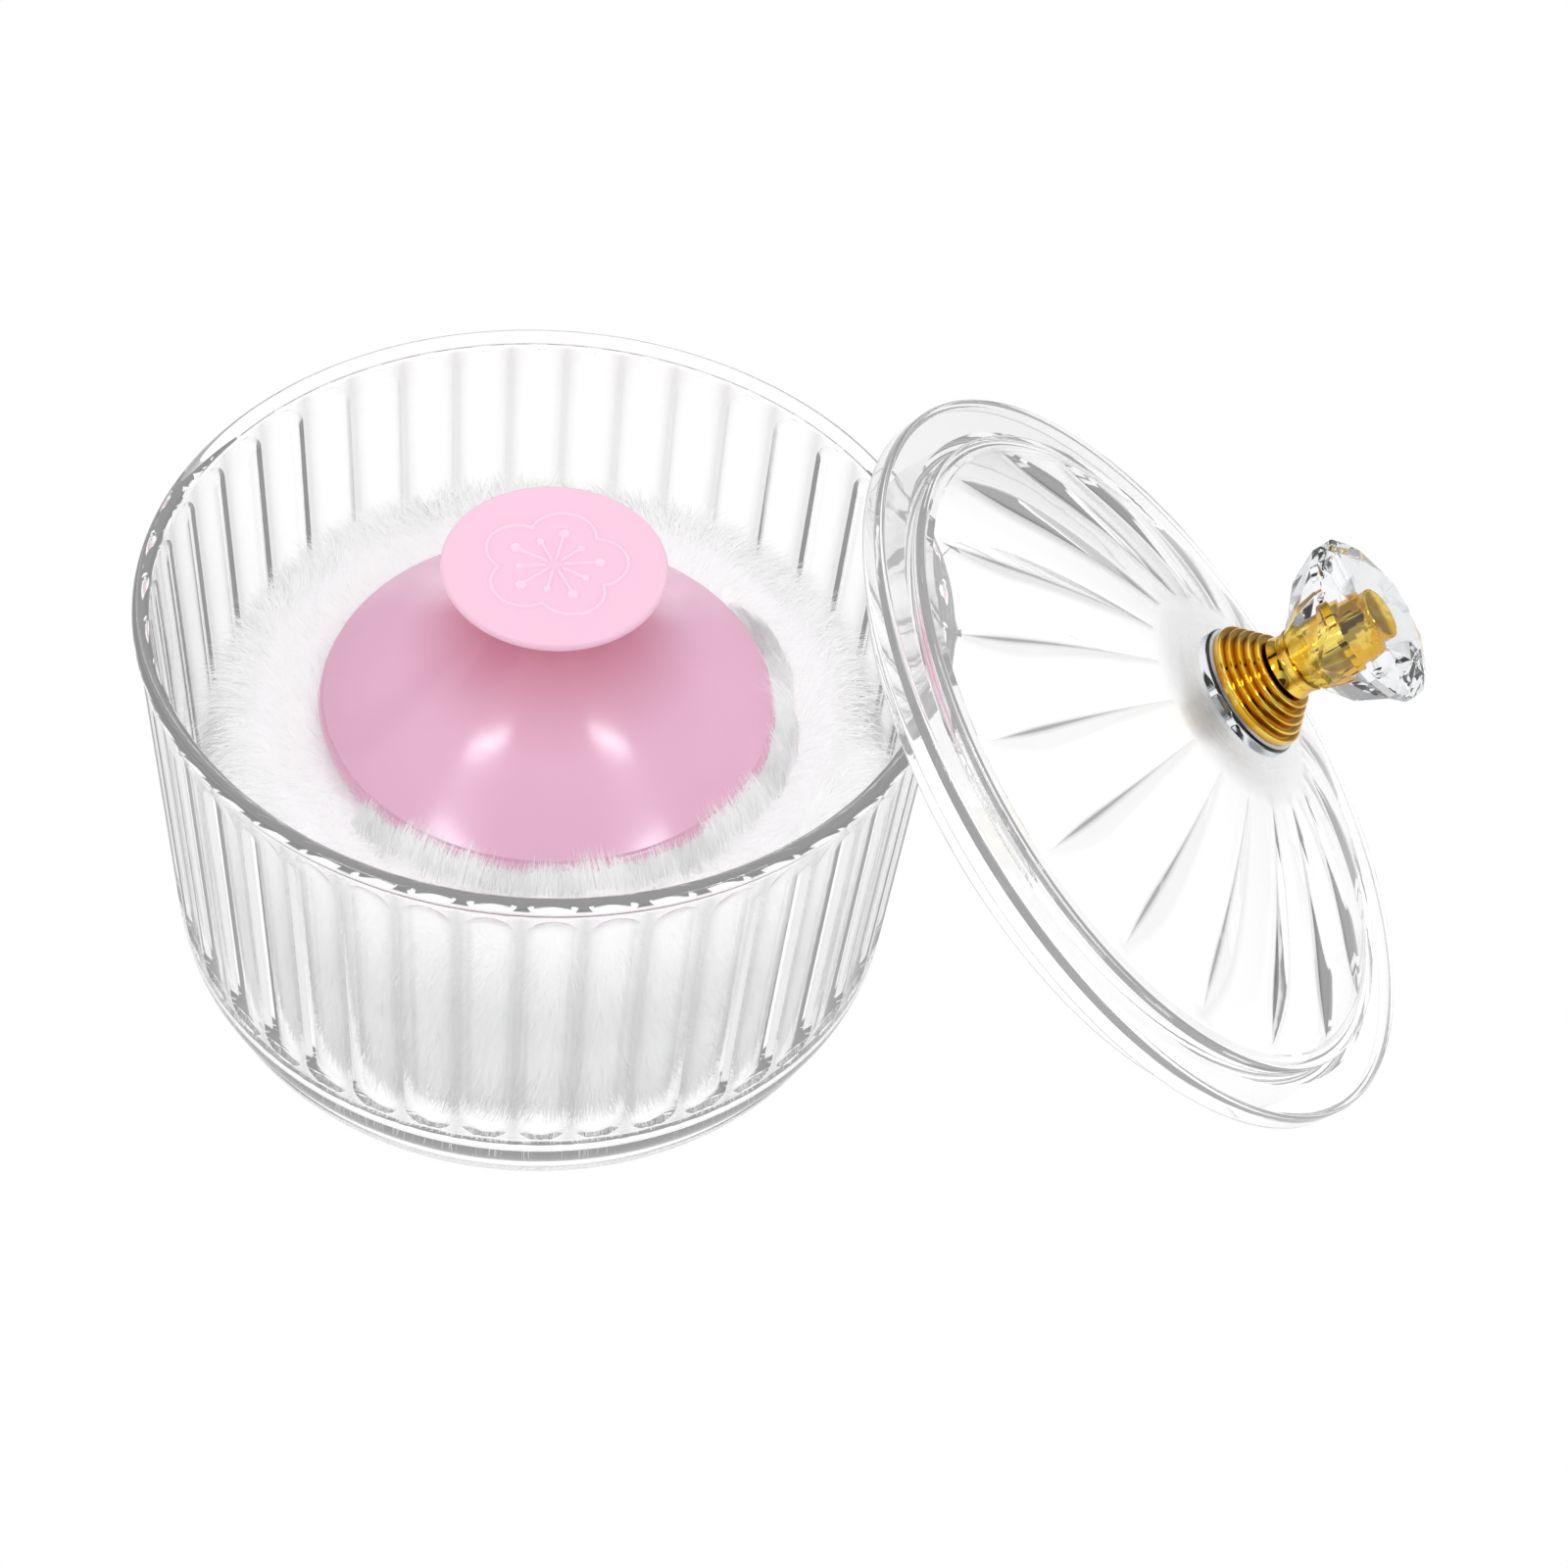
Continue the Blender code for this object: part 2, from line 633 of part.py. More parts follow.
def make_foam(parts):
    """Foam pad in the plush pocket, with a well for the head of the handle's screw."""
    radius = pocket_radius() - SEAT_GAP
    foot = POCKET_FLOOR + SEAT_GAP
    top = foam_top()
    well_radius = PUFF_SCREW_HEAD_RADIUS + HOLE_CLEARANCE
    well_floor = plate_top() - PLATE_THICKNESS - SEAT_GAP - PUFF_SCREW_HEAD_HEIGHT - SEAT_GAP
    outline = [(0.0, well_floor), (well_radius, well_floor), (well_radius, top), (radius, top)]
    outline += [(radius, foot), (0.0, foot)]
    foam = turned("puff_foam", outline, SOFT_STEPS, parts)
    finish(foam, make_material("foam cream", (0.90, 0.87, 0.78), 0.95))
    return foam


def make_plate(parts):
    hole = PUFF_SCREW_RADIUS + HOLE_CLEARANCE
    top = plate_top()
    foot = top - PLATE_THICKNESS
    outline = [(hole, top), (PLATE_RADIUS, top), (PLATE_RADIUS, foot), (hole, foot)]
    plate = turned("puff_plate", outline, SOFT_STEPS, parts, closed=True)
    finish(plate, make_material("plate white", (0.88, 0.88, 0.86), 0.45))
    return plate


def make_puff_screw(parts, cutters):
    head_top = plate_top() - PLATE_THICKNESS - SEAT_GAP
    return make_slotted_screw(
        "handle_screw", PUFF_SCREW_HEAD_RADIUS, PUFF_SCREW_HEAD_HEIGHT, PUFF_SCREW_RADIUS,
        head_top, head_top + PUFF_SCREW_LENGTH, parts, cutters
    )


def bell_foot():
    return PLUSH_TOP + SEAT_GAP


def neck_top():
    return bell_foot() + BELL_HEIGHT


def bell_points(inset, count):
    """The bell's face from its neck out to its edge: an S-curve, drawn in by an inset."""
    foot = bell_foot() + BELL_EDGE
    run = BELL_RADIUS - NECK_RADIUS
    rise = neck_top() - foot
    points = []
    for share in np.linspace(0.0, 1.0, count):
        fall = (1 - BELL_FLARE_SHARE) * (1 - (1 - share) ** 3) + BELL_FLARE_SHARE * share ** 2
        points.append((NECK_RADIUS + run * share - inset, neck_top() - rise * fall - inset))
    return points


def make_handle_bell(parts):
    """Pink bell of the handle: a flared shell, a neck that takes the cap, and a screw boss."""
    bore = SPIGOT_RADIUS + HOLE_CLEARANCE
    bore_floor = neck_top() - SPIGOT_LENGTH - 2 * SEAT_GAP
    hole = PUFF_SCREW_RADIUS + HOLE_CLEARANCE
    hole_top = plate_top() - PLATE_THICKNESS - SEAT_GAP + PUFF_SCREW_LENGTH + SEAT_GAP
    boss_foot = plate_top() + SEAT_GAP
    foot = bell_foot()
    edge = BELL_EDGE / 2
    outline = [(0.0, bore_floor), (bore, bore_floor), (bore, neck_top())]
    outline += bell_points(0.0, 9)[:-1]
    outline += arc(BELL_RADIUS - edge, foot + edge, edge, edge, 60, -90, 4)
    outline += [(BELL_RADIUS - BELL_WALL - edge, foot)]
    inner = [point for point in bell_points(BELL_WALL, 6)[::-1] if point[0] > BOSS_RADIUS + BELL_WALL]
    outline += [point for point in inner if point[0] < BELL_RADIUS - BELL_WALL - 2 * edge]
    outline += [(BOSS_RADIUS, outline[-1][1]), (BOSS_RADIUS, boss_foot), (hole, boss_foot)]
    outline += [(hole, hole_top), (0.0, hole_top)]
    bell = turned("handle_bell", outline, SOFT_STEPS, parts)
    finish(bell, pink_plastic("bell pink", (0.82, 0.50, 0.66)))
    return bell


def make_handle_cap(parts):
    """Round cap: a dished face, a side that curves in to the underside, and a spigot into the neck."""
    foot = neck_top() + SEAT_GAP
    top = foot + CAP_THICKNESS
    widest = top - CAP_EDGE
    outline = [(0.0, top - CAP_DISH), (CAP_RADIUS - 2 * CAP_EDGE, top)]
    outline += arc(CAP_RADIUS - CAP_EDGE, widest, CAP_EDGE, CAP_EDGE, 80, 0, 4)
    outline += arc(CAP_RADIUS - CAP_UNDERCUT, widest, CAP_UNDERCUT, widest - foot, 0, -90, 6)[1:]
    outline += [(SPIGOT_RADIUS, foot), (SPIGOT_RADIUS, foot - SPIGOT_LENGTH), (0.0, foot - SPIGOT_LENGTH)]
    cap = turned("handle_cap", outline, SOFT_STEPS, parts)
    finish(cap, pink_plastic("cap pink", (0.93, 0.62, 0.76)))
    return cap


def lid_height():
    """Height of the flange's centre when the skirt's lower edge stands on the table."""
    edge = (FLANGE_RADIUS - RIM_RADIUS - SKIRT_CLEARANCE) / 2
    reach = (FLANGE_RADIUS - edge) * math.sin(LID_LEAN)
    return reach + (SKIRT_DEPTH - edge) * math.cos(LID_LEAN) + edge


def rim_gap(lid_run):
    """Least gap between the leaning lid and the pot's bead, for a distance between their axes."""
    profile = np.array([point for point in lid_outline() if point[1] < HUB_HEIGHT - HUB_THICKNESS])
    turns = np.linspace(0.0, math.pi, 721)
    out = profile[:, :1] * np.cos(turns)
    side = profile[:, :1] * np.sin(turns)
    up = profile[:, 1:]
    x = lid_run + out * math.cos(LID_LEAN) + up * math.sin(LID_LEAN)
    z = lid_height() - out * math.sin(LID_LEAN) + up * math.cos(LID_LEAN)
    bead = bead_radius()
    away = np.hypot(np.hypot(x, side) - (RIM_RADIUS - bead), z - (POT_HEIGHT - bead))
    return float(away.min()) - bead


def lid_run():
    """Distance between the axes at which the lid, coming in from the side, rests on the rim."""
    run = RIM_RADIUS + FLANGE_RADIUS
    stride = SEAT_GAP
    while rim_gap(run) > SEAT_GAP:
        run -= stride
    clear, touching = run + stride, run
    for _ in range(20):
        middle = (clear + touching) / 2
        if rim_gap(middle) > SEAT_GAP:
            clear = middle
        else:
            touching = middle
    return clear


def pot_place():
    """X of the pot's axis, so that the middle of the whole object's length is at zero."""
    far = lid_run() + (FLANGE_RADIUS - FLANGE_EDGE) * math.cos(LID_LEAN)
    far += FLANGE_EDGE * (1 - math.sin(LID_LEAN))
    return (RIM_RADIUS - far) / 2


def carrier(name, location, lean, turn, parts):
    """An empty that turns what it carries about its own axis and then leans it over towards +X."""
    empty = bpy.data.objects.new(name, None)
    empty.location = location
    empty.rotation_mode = "ZYX"
    empty.rotation_euler = (0.0, lean, turn)
    empty.empty_display_size = HUB_RADIUS
    parts.objects.link(empty)
    return empty


def build():
    clear_scene()
    parts = make_collection("loose_powder_compact")
    cutters = make_collection("cutters")
    pot_x = pot_place()
    pot_seat = carrier("pot_seat", (pot_x, 0.0, 0.0), 0.0, POT_TURN, parts)
    puff_seat = carrier("puff_seat", (pot_x + PUFF_SHIFT, 0.0, 0.0), 0.0, 0.0, parts)
    lid_seat = carrier("lid_seat", (pot_x + lid_run(), 0.0, lid_height()), LID_LEAN, LID_TURN, parts)

    make_pot(parts, cutters).parent = pot_seat
    for piece in (
        make_plush(parts),
        make_foam(parts),
        make_plate(parts),
        make_puff_screw(parts, cutters),
        make_handle_bell(parts),
        make_handle_cap(parts),
    ):
        piece.parent = puff_seat
    for piece in (
        make_lid(parts, cutters),
        make_collar(parts),
        make_rosette(parts),
        make_stem(parts),
        make_crystal(parts, cutters),
        make_knob_screw(parts, cutters),
        make_washer(parts),
    ):
        piece.parent = lid_seat
    bpy.context.view_layer.update()
    print("pot axis x", round(pot_x, 5), "lid run", round(lid_run(), 5), "lid height", round(lid_height(), 5))


build()
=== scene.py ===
# %% [markdown]
# # A loose powder pot with a plush puff
#
# A clear fluted pot holds a white plush puff with a pink handle. Its clear domed lid, with a gold
# and crystal knob, leans on the pot's rim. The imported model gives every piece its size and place.
# This lesson models the pieces that need a finer surface, gives every piece its finish, and lights
# them in a small white studio.

import math

import bpy
import numpy as np
from mathutils import Matrix, Vector


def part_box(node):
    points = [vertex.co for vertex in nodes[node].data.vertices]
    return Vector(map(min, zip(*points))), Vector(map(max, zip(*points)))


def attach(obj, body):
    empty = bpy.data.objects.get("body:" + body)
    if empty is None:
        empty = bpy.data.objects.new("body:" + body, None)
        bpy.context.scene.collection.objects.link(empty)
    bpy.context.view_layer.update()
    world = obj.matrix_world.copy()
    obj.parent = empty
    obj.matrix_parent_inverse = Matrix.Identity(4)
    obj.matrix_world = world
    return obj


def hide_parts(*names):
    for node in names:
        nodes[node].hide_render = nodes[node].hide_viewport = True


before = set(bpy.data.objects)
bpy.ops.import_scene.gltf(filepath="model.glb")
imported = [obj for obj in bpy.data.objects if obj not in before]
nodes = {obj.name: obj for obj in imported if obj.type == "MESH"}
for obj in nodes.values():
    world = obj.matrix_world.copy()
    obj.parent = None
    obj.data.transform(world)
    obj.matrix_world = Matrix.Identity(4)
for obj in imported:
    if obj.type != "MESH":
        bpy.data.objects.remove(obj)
scene = bpy.context.scene
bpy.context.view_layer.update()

# %% [markdown]
# ## Where the three bodies stand
#
# The pot and the puff have upright axes, and the lid's axis leans towards +X. A turned piece has
# its middle on its axis, so the middles of two turned pieces of the knob are enough to find the
# lid's axis. Each new piece is modelled upright at the origin and then carried to its axis.

# %% The three axes
POT_TURN = math.radians(-0.9)
LID_TURN = math.radians(-5.6)
SEAT_GAP = 0.0003
HOLE_CLEARANCE = 0.0003
HUB_HEIGHT = 0.0143
HUB_THICKNESS = 0.0026
WASHER_THICKNESS = 0.0008


def middle(node):
    """Mean of a node's corners."""
    points = [vertex.co for vertex in nodes[node].data.vertices]
    return sum(points, Vector()) / len(points)


def upright_axis(node):
    """A move from the origin to where an upright turned node's axis meets the table."""
    low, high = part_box(node)
    return Matrix.Translation(((low.x + high.x) / 2, 0.0, 0.0))


POT_PLACE = upright_axis("pot")
PUFF_PLACE = upright_axis("handle_bell")
lid_axis = (middle("knob_base") - middle("knob_washer")).normalized()
lid_lean = math.atan2(lid_axis.x, lid_axis.z)
washer_height = HUB_HEIGHT - HUB_THICKNESS - SEAT_GAP - WASHER_THICKNESS / 2
lid_centre = middle("knob_washer") - lid_axis * washer_height
LID_PLACE = Matrix.Translation(lid_centre) @ Matrix.Rotation(lid_lean, 4, "Y")

# %% [markdown]
# ## Two helpers for turned pieces
#
# A plain turned piece is a ring of vertices drawn as its half section and spun round the Z axis.
# A piece with a repeating pattern, such as flutes, is one slice: a grid whose rows follow the half
# section and whose columns follow the pattern. Copies of the slice are spun round and merged. The
# pattern's edges then lie along the mesh's own edges, so they stay crisp.

# %% Spinning a half section, and spinning copies of a slice
MERGE_DISTANCE = 0.000002
CREASE_ANGLE = math.radians(17.0)


def arc(centre_r, centre_z, radius_r, radius_z, start, end, count):
    """Points of an ellipse arc in the half section, angles in degrees from +X."""
    angles = np.radians(np.linspace(start, end, count))
    return [(centre_r + radius_r * math.cos(a), centre_z + radius_z * math.sin(a)) for a in angles]


def round_edge(outer, top, edge, start, end, count):
    """Points of a circle arc that touches an outer radius and a top height."""
    return arc(outer - edge, top - edge, edge, edge, start, end, count)


def add_object(name, data):
    """Puts an object with its data into the scene."""
    added = bpy.data.objects.new(name, data)
    scene.collection.objects.link(added)
    return added


def start_piece(name):
    """Names the primitive that was just added."""
    piece = bpy.context.active_object
    piece.name = name
    piece.data.name = name
    return piece


def on_all(operator, **settings):
    """Runs an edit operator on the whole of the piece that is being edited."""
    bpy.ops.mesh.select_all(action="SELECT")
    operator(**settings)


def spin_round(steps, sweep, crease, copied=False):
    """Spins the active piece round Z, merges doubles and shades it smooth between its creases."""
    bpy.ops.object.mode_set(mode="EDIT")
    on_all(bpy.ops.mesh.spin, steps=steps, angle=sweep, dupli=copied, center=(0, 0, 0), axis=(0, 0, 1))
    on_all(bpy.ops.mesh.remove_doubles, threshold=MERGE_DISTANCE)
    bpy.ops.mesh.delete_loose()
    on_all(bpy.ops.mesh.normals_make_consistent)
    bpy.ops.object.mode_set(mode="OBJECT")
    bpy.ops.object.shade_smooth_by_angle(angle=crease)


def spun(name, outline, steps, crease=CREASE_ANGLE):
    """A turned piece from its closed half section."""
    bpy.ops.mesh.primitive_circle_add(vertices=len(outline), radius=1.0)
    piece = start_piece(name)
    for vertex, (r, z) in zip(piece.data.vertices, outline):
        vertex.co = (r, 0.0, z)
    spin_round(steps, 2 * math.pi, crease)
    return piece


def spun_slices(name, rows, shares, place, copies, turn=0.0, crease=CREASE_ANGLE):
    """A turned piece from one slice: place(row, share) gives a grid point's radius, angle, height."""
    across_count, up_count = len(shares) - 1, len(rows) - 1
    bpy.ops.mesh.primitive_grid_add(x_subdivisions=across_count, y_subdivisions=up_count)
    piece = start_piece(name)
    for index, vertex in enumerate(piece.data.vertices):
        row, column = divmod(index, len(shares))
        radius, angle, height = place((*rows[row], None)[:3], shares[column])
        vertex.co = (radius * math.cos(angle + turn), radius * math.sin(angle + turn), height)
    spin_round(copies - 1, 2 * math.pi * (copies - 1) / copies, crease, copied=True)
    return piece


def write_values(piece, name, value_at):
    """Stores a value at every point of a piece, for its finish to read."""
    layer = piece.data.attributes.new(name, "FLOAT", "POINT")
    for vertex, item in zip(piece.data.vertices, layer.data):
        x, y, z = vertex.co
        item.value = value_at(math.hypot(x, y), math.atan2(y, x), z)


def within(angle, pitch):
    """An angle brought to the middle of its pitch."""
    return (angle + pitch / 2) % pitch - pitch / 2


def settle(piece, place, body, slot, *replaced):
    """Carries a finished piece to its place, applies it, and lets it ride in place of CAD nodes."""
    piece.matrix_world = place
    bpy.ops.object.select_all(action="DESELECT")
    piece.select_set(True)
    bpy.context.view_layer.objects.active = piece
    bpy.ops.object.transform_apply()
    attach(piece, body)
    if replaced:
        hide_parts(*replaced)
    print(piece.name, len(piece.data.polygons), "faces")


# %% [markdown]
# ## The pot's half section
#
# The pot is one clear moulding: a thin floor, a wall that widens a little towards the top, a
# rolled bead at the rim, a round heel and a foot ring. Its outside is cut by 42 shallow flutes.
# The half section is a list of rows. Each row is a point of the section, and a wall row also says
# how wide the flute is there, from nothing at its round ends to its full width.

# %% Pot sizes
POT_HEIGHT = 0.0585
RIM_RADIUS = 0.0500
RIM_BEAD = 0.00045
POT_WALL = 0.0017
HEEL_RADIUS = 0.0463
HEEL_HEIGHT = 0.0095
FOOT_RADIUS = 0.0437
FOOT_HEIGHT = 0.0036
FOOT_STEP = 0.0003
FOOT_WIDTH = 0.0026
FOOT_EDGE = 0.0004
FOOT_RECESS = 0.0018
FLOOR_HEIGHT = 0.0050
FLOOR_HEEL = 0.0052
FLUTE_COUNT = 42
FLUTE_DEPTH = 0.0006
FLUTE_LAND = 0.0007
FLUTE_TOP_MARGIN = 0.0029
FLUTE_FOOT_MARGIN = 0.0010
BEAD = (RIM_BEAD + POT_WALL) / 2
BEAD_FOOT = POT_HEIGHT - 2 * BEAD


def wall_radius(height):
    """Outer radius of the tapered wall."""
    share = (height - HEEL_HEIGHT) / (BEAD_FOOT - HEEL_HEIGHT)
    return HEEL_RADIUS + share * (RIM_RADIUS - RIM_BEAD - HEEL_RADIUS)


def flute_half(height):
    """Half the width of a flute, measured round the wall."""
    return math.pi * wall_radius(height) / FLUTE_COUNT - FLUTE_LAND / 2


# %% Rows of the pot's half section
flute_low = HEEL_HEIGHT + FLUTE_FOOT_MARGIN
flute_high = POT_HEIGHT - FLUTE_TOP_MARGIN
end_angles = np.radians(np.linspace(0, 90, 11))
wall_rows = [(flute_high - flute_half(flute_high) * (1 - math.cos(a)), math.sin(a)) for a in end_angles]
wall_rows += [(flute_low + flute_half(flute_low) * (1 - math.sin(a)), math.cos(a)) for a in end_angles]

floor_heel_top = FLOOR_HEIGHT + FLOOR_HEEL
floor_heel_radius = wall_radius(floor_heel_top) - POT_WALL - FLOOR_HEEL
inner_foot = FOOT_RADIUS - FOOT_STEP - FOOT_WIDTH
pot_rows = [(0.0, FLOOR_HEIGHT)]
pot_rows += arc(floor_heel_radius, floor_heel_top, FLOOR_HEEL, FLOOR_HEEL, -90, 0, 10)
pot_rows += round_edge(RIM_RADIUS, POT_HEIGHT, BEAD, 180, -60, 24)
pot_rows += [(wall_radius(BEAD_FOOT), BEAD_FOOT)]
pot_rows += [(wall_radius(z), z, arch) for z, arch in wall_rows]
pot_rows += arc(FOOT_RADIUS, HEEL_HEIGHT, HEEL_RADIUS - FOOT_RADIUS, HEEL_HEIGHT - FOOT_HEIGHT, 0, -84, 10)
pot_rows += [(FOOT_RADIUS, FOOT_HEIGHT)]
pot_rows += round_edge(FOOT_RADIUS - FOOT_STEP, 2 * FOOT_EDGE, FOOT_EDGE, 0, -90, 6)
pot_rows += [(inner_foot, 0.0), (inner_foot - FOOT_EDGE, FOOT_RECESS), (0.0, FOOT_RECESS)]

# %% [markdown]
# ## One slice of the pot
#
# Across a slice, the columns with shares from -1 to 1 lie in the flute and the rest on the land
# beside it. In the flute the surface sinks along a parabola, deepest in the middle. Where the
# flute ends, its columns close in on the middle, so the mesh draws the round end by itself. The
# lands are thicker, so each point also stores how thick the plastic is. The finish paints the lands
# greyer by it: a little for the thickness, and mostly as painted shade for the grey lines that the
# lands bend into view.

# %% Model the pot
FLUTE_PITCH = 2 * math.pi / FLUTE_COUNT


def columns(land_shares):
    """Shares of a slice's columns: 13 across the pattern, and the land's on both sides."""
    return sorted([-share for share in land_shares] + list(np.linspace(-1, 1, 13)) + land_shares)


def across(share, half, end_share, pitch):
    """Angle of a column: shares up to 1 fill the pattern's half angle, the rest the land."""
    size = abs(share)
    if size <= 1.0:
        angle = half * size
    else:
        angle = half + (pitch / 2 - half) * (size - 1.0) / (end_share - 1.0)
    return math.copysign(angle, share)


flute_shares = columns([1.25, 1.5])


def pot_point(row, share):
    """Place of a grid point on the pot."""
    radius, height, arch = row
    full = flute_half(min(max(height, flute_low), flute_high)) / max(radius, HEEL_RADIUS)
    if arch is None:
        return radius, across(share, full, flute_shares[-1], FLUTE_PITCH), height
    angle = across(share, full * arch, flute_shares[-1], FLUTE_PITCH)
    sink = FLUTE_DEPTH * arch * max(0.0, 1 - share * share)
    return radius - sink, angle, height


def pot_land_shade(radius, angle, height):
    """How thick the wall is at a point, from 0 in a flute's middle to 1 on the lands, for the painted grey
    shade.
    """
    if not flute_low < height < flute_high or radius < wall_radius(height) - FLUTE_DEPTH - BEAD / 2:
        return 0.0
    side = abs(within(angle - POT_TURN, FLUTE_PITCH)) * radius / flute_half(height)
    return min(side, 1.0) ** 3


pot = spun_slices("pot_clear", pot_rows, flute_shares, pot_point, FLUTE_COUNT, POT_TURN)
write_values(pot, "grey_shade", pot_land_shade)
settle(pot, POT_PLACE, "pot", "clear_pot", "pot")

# %% [markdown]
# ## The lid's shell
#
# The lid is a domed moulding with a flat flange, a skirt that drops over the pot's rim, a plug
# ring that drops inside it, and 18 pointed leaves cut into the dome as shallow grooves. It is made
# as the pot is: the columns of a slice follow the leaf's outline, which is widest at about a
# quarter of its length and runs out to a point at both ends.

# %% Lid sizes
FLANGE_RADIUS = 0.0514
FLANGE_THICKNESS = 0.0018
FLANGE_EDGE = 0.0005
SKIRT_DEPTH = 0.0035
SKIRT_CLEARANCE = 0.00035
PLUG_RADIUS = 0.0466
PLUG_WALL = 0.0014
PLUG_DEPTH = 0.0074
STEP_RADIUS = 0.0453
STEP_HEIGHT = 0.0012
STEP_WIDTH = 0.0018
STEP_EDGE = 0.0004
HUB_RADIUS = 0.0096
DOME_WALL = 0.0018
DOME_BULGE = math.radians(10.0)
LEAF_COUNT = 18
LEAF_HALF_WIDTH = 0.0026
LEAF_DEPTH = 0.0006
LEAF_OUTER_MARGIN = 0.0010
LEAF_INNER_MARGIN = 0.0054
LEAF_ROUND = 0.15
PLAIN_ROW_WIDTH = 0.5
SCREW_RADIUS = 0.0015

dome_start = STEP_RADIUS - STEP_WIDTH
leaf_tip = dome_start - LEAF_OUTER_MARGIN
leaf_root = HUB_RADIUS + LEAF_INNER_MARGIN
hole = SCREW_RADIUS + HOLE_CLEARANCE


def dome_point(radius_out, lift=0.0):
    """Point of the dome's top face, on the arc from the hub's edge to the step, lifted along its normal."""
    run = dome_start - HUB_RADIUS
    rise = HUB_HEIGHT - STEP_HEIGHT
    chord = math.hypot(run, rise)
    radius = chord / (2 * math.sin(DOME_BULGE))
    inward = Vector((-rise, -run)) / chord
    centre = Vector(((dome_start + HUB_RADIUS) / 2, (HUB_HEIGHT + STEP_HEIGHT) / 2))
    centre += inward * radius * math.cos(DOME_BULGE)
    up = math.sqrt(radius * radius - (radius_out - centre.x) ** 2)
    return centre + Vector((radius_out - centre.x, up)) * (1 + lift / radius)


def leaf_share(station):
    """Width of the leaf as a share of its widest, from its outer tip at 0 to its root at 1."""
    stations = [0.0, 0.05, 0.12, 0.2, 0.28, 0.45, 0.65, 0.85, 1.0]
    shares = [0.0, 0.34, 0.72, 0.95, 1.0, 0.8, 0.5, 0.2, 0.0]
    return float(np.interp(station, stations, shares))


# %% Rows of the lid's half section
skirt_inner = RIM_RADIUS + SKIRT_CLEARANCE
skirt_round = (FLANGE_RADIUS - skirt_inner) / 2
lip = PLUG_WALL / 2
inner_plug = PLUG_RADIUS - PLUG_WALL
below_hub = HUB_HEIGHT - HUB_THICKNESS
lid_rows = [(hole, HUB_HEIGHT), (HUB_RADIUS - STEP_EDGE, HUB_HEIGHT)]
lid_rows += [dome_point(r) for r in np.linspace(HUB_RADIUS, leaf_root, 4)[:-1]]
for station in np.linspace(1, 0, 31):
    lid_rows.append((*dome_point(leaf_tip + (leaf_root - leaf_tip) * station), station))
lid_rows += [dome_point(dome_start)]
lid_rows += round_edge(STEP_RADIUS, STEP_HEIGHT, STEP_EDGE, 90, 0, 7)
lid_rows += [(STEP_RADIUS, 0.0)]
lid_rows += round_edge(FLANGE_RADIUS, 0.0, FLANGE_EDGE, 90, 0, 8)
lid_rows += round_edge(FLANGE_RADIUS, 2 * skirt_round - SKIRT_DEPTH, skirt_round, 0, -180, 14)
lid_rows += [(skirt_inner, -FLANGE_THICKNESS), (PLUG_RADIUS, -FLANGE_THICKNESS)]
lid_rows += round_edge(PLUG_RADIUS, PLUG_WALL - PLUG_DEPTH, lip, 0, -180, 14)
underside = [dome_point(r, -DOME_WALL) for r in np.linspace(dome_start, HUB_RADIUS, 24)]
underside = [point for point in underside if point.x < inner_plug - DOME_WALL and point.y < below_hub]
lid_rows += round_edge(inner_plug, underside[0].y, DOME_WALL, 0, 70, 8)
lid_rows += underside
lid_rows += [(HUB_RADIUS - DOME_WALL, below_hub), (hole, below_hub), (hole, HUB_HEIGHT)]

# %% Model the lid's shell
LEAF_PITCH = 2 * math.pi / LEAF_COUNT
leaf_shares = columns([1.3, 1.6, 1.9])
# Widths of the painted shade along a leaf's middle and on one of its flanks.
LEAF_SHADE_CORE_SHARE = 0.16
LEAF_FLANK_SHADE = 0.28
HAZE_REACH = 0.004


def lid_point(row, share):
    """Place of a grid point on the lid."""
    radius, height, station = row
    width = leaf_share(station) if station is not None else PLAIN_ROW_WIDTH
    half = min(LEAF_HALF_WIDTH * width / max(radius, leaf_root), LEAF_PITCH / 3)
    angle = across(share, half, leaf_shares[-1], LEAF_PITCH)
    if station is None:
        return radius, angle, height
    slope = min(abs(share), 1.0)
    sink = LEAF_DEPTH * width * (1 - slope) * (1 + LEAF_ROUND * slope)
    point = dome_point(radius, -sink)
    return point.x, angle, point.y


def lid_leaf_shade(radius, angle, height):
    """Painted shade at a point: darkest along a leaf's middle, a little on one of its sides."""
    if not leaf_root < radius < leaf_tip or height < dome_point(radius).y - LEAF_DEPTH - STEP_EDGE:
        return 0.0
    width = leaf_share((leaf_tip - radius) / (leaf_tip - leaf_root))
    side = within(angle - LID_TURN, LEAF_PITCH) * radius / (LEAF_HALF_WIDTH * width + MERGE_DISTANCE)
    core = math.exp(-(side / LEAF_SHADE_CORE_SHARE) ** 2)
    return core * width + LEAF_FLANK_SHADE * (0 < side < 1)


def lid_haze(radius, angle, height):
    """How milky the plastic is at a point: round the hub, where the mould wasn't polished."""
    return float(np.interp(radius, [HUB_RADIUS, leaf_root + HAZE_REACH], [1.0, 0.0]))


lid = spun_slices("lid_clear", lid_rows, leaf_shares, lid_point, LEAF_COUNT, LID_TURN)
write_values(lid, "grey_shade", lid_leaf_shade)
write_values(lid, "haze", lid_haze)
settle(lid, LID_PLACE, "lid", "clear_lid", "lid_shell")

# %% [markdown]
# ## The knob's turned pieces
#
# The knob stands on a clear collar. Its gold base is a flat plate with four ever smaller rings on
# it, and a gold stem with a long round insert goes up inside the crystal. All three are plain
# turned pieces, and the many points of their half sections keep the gold's reflections smooth.

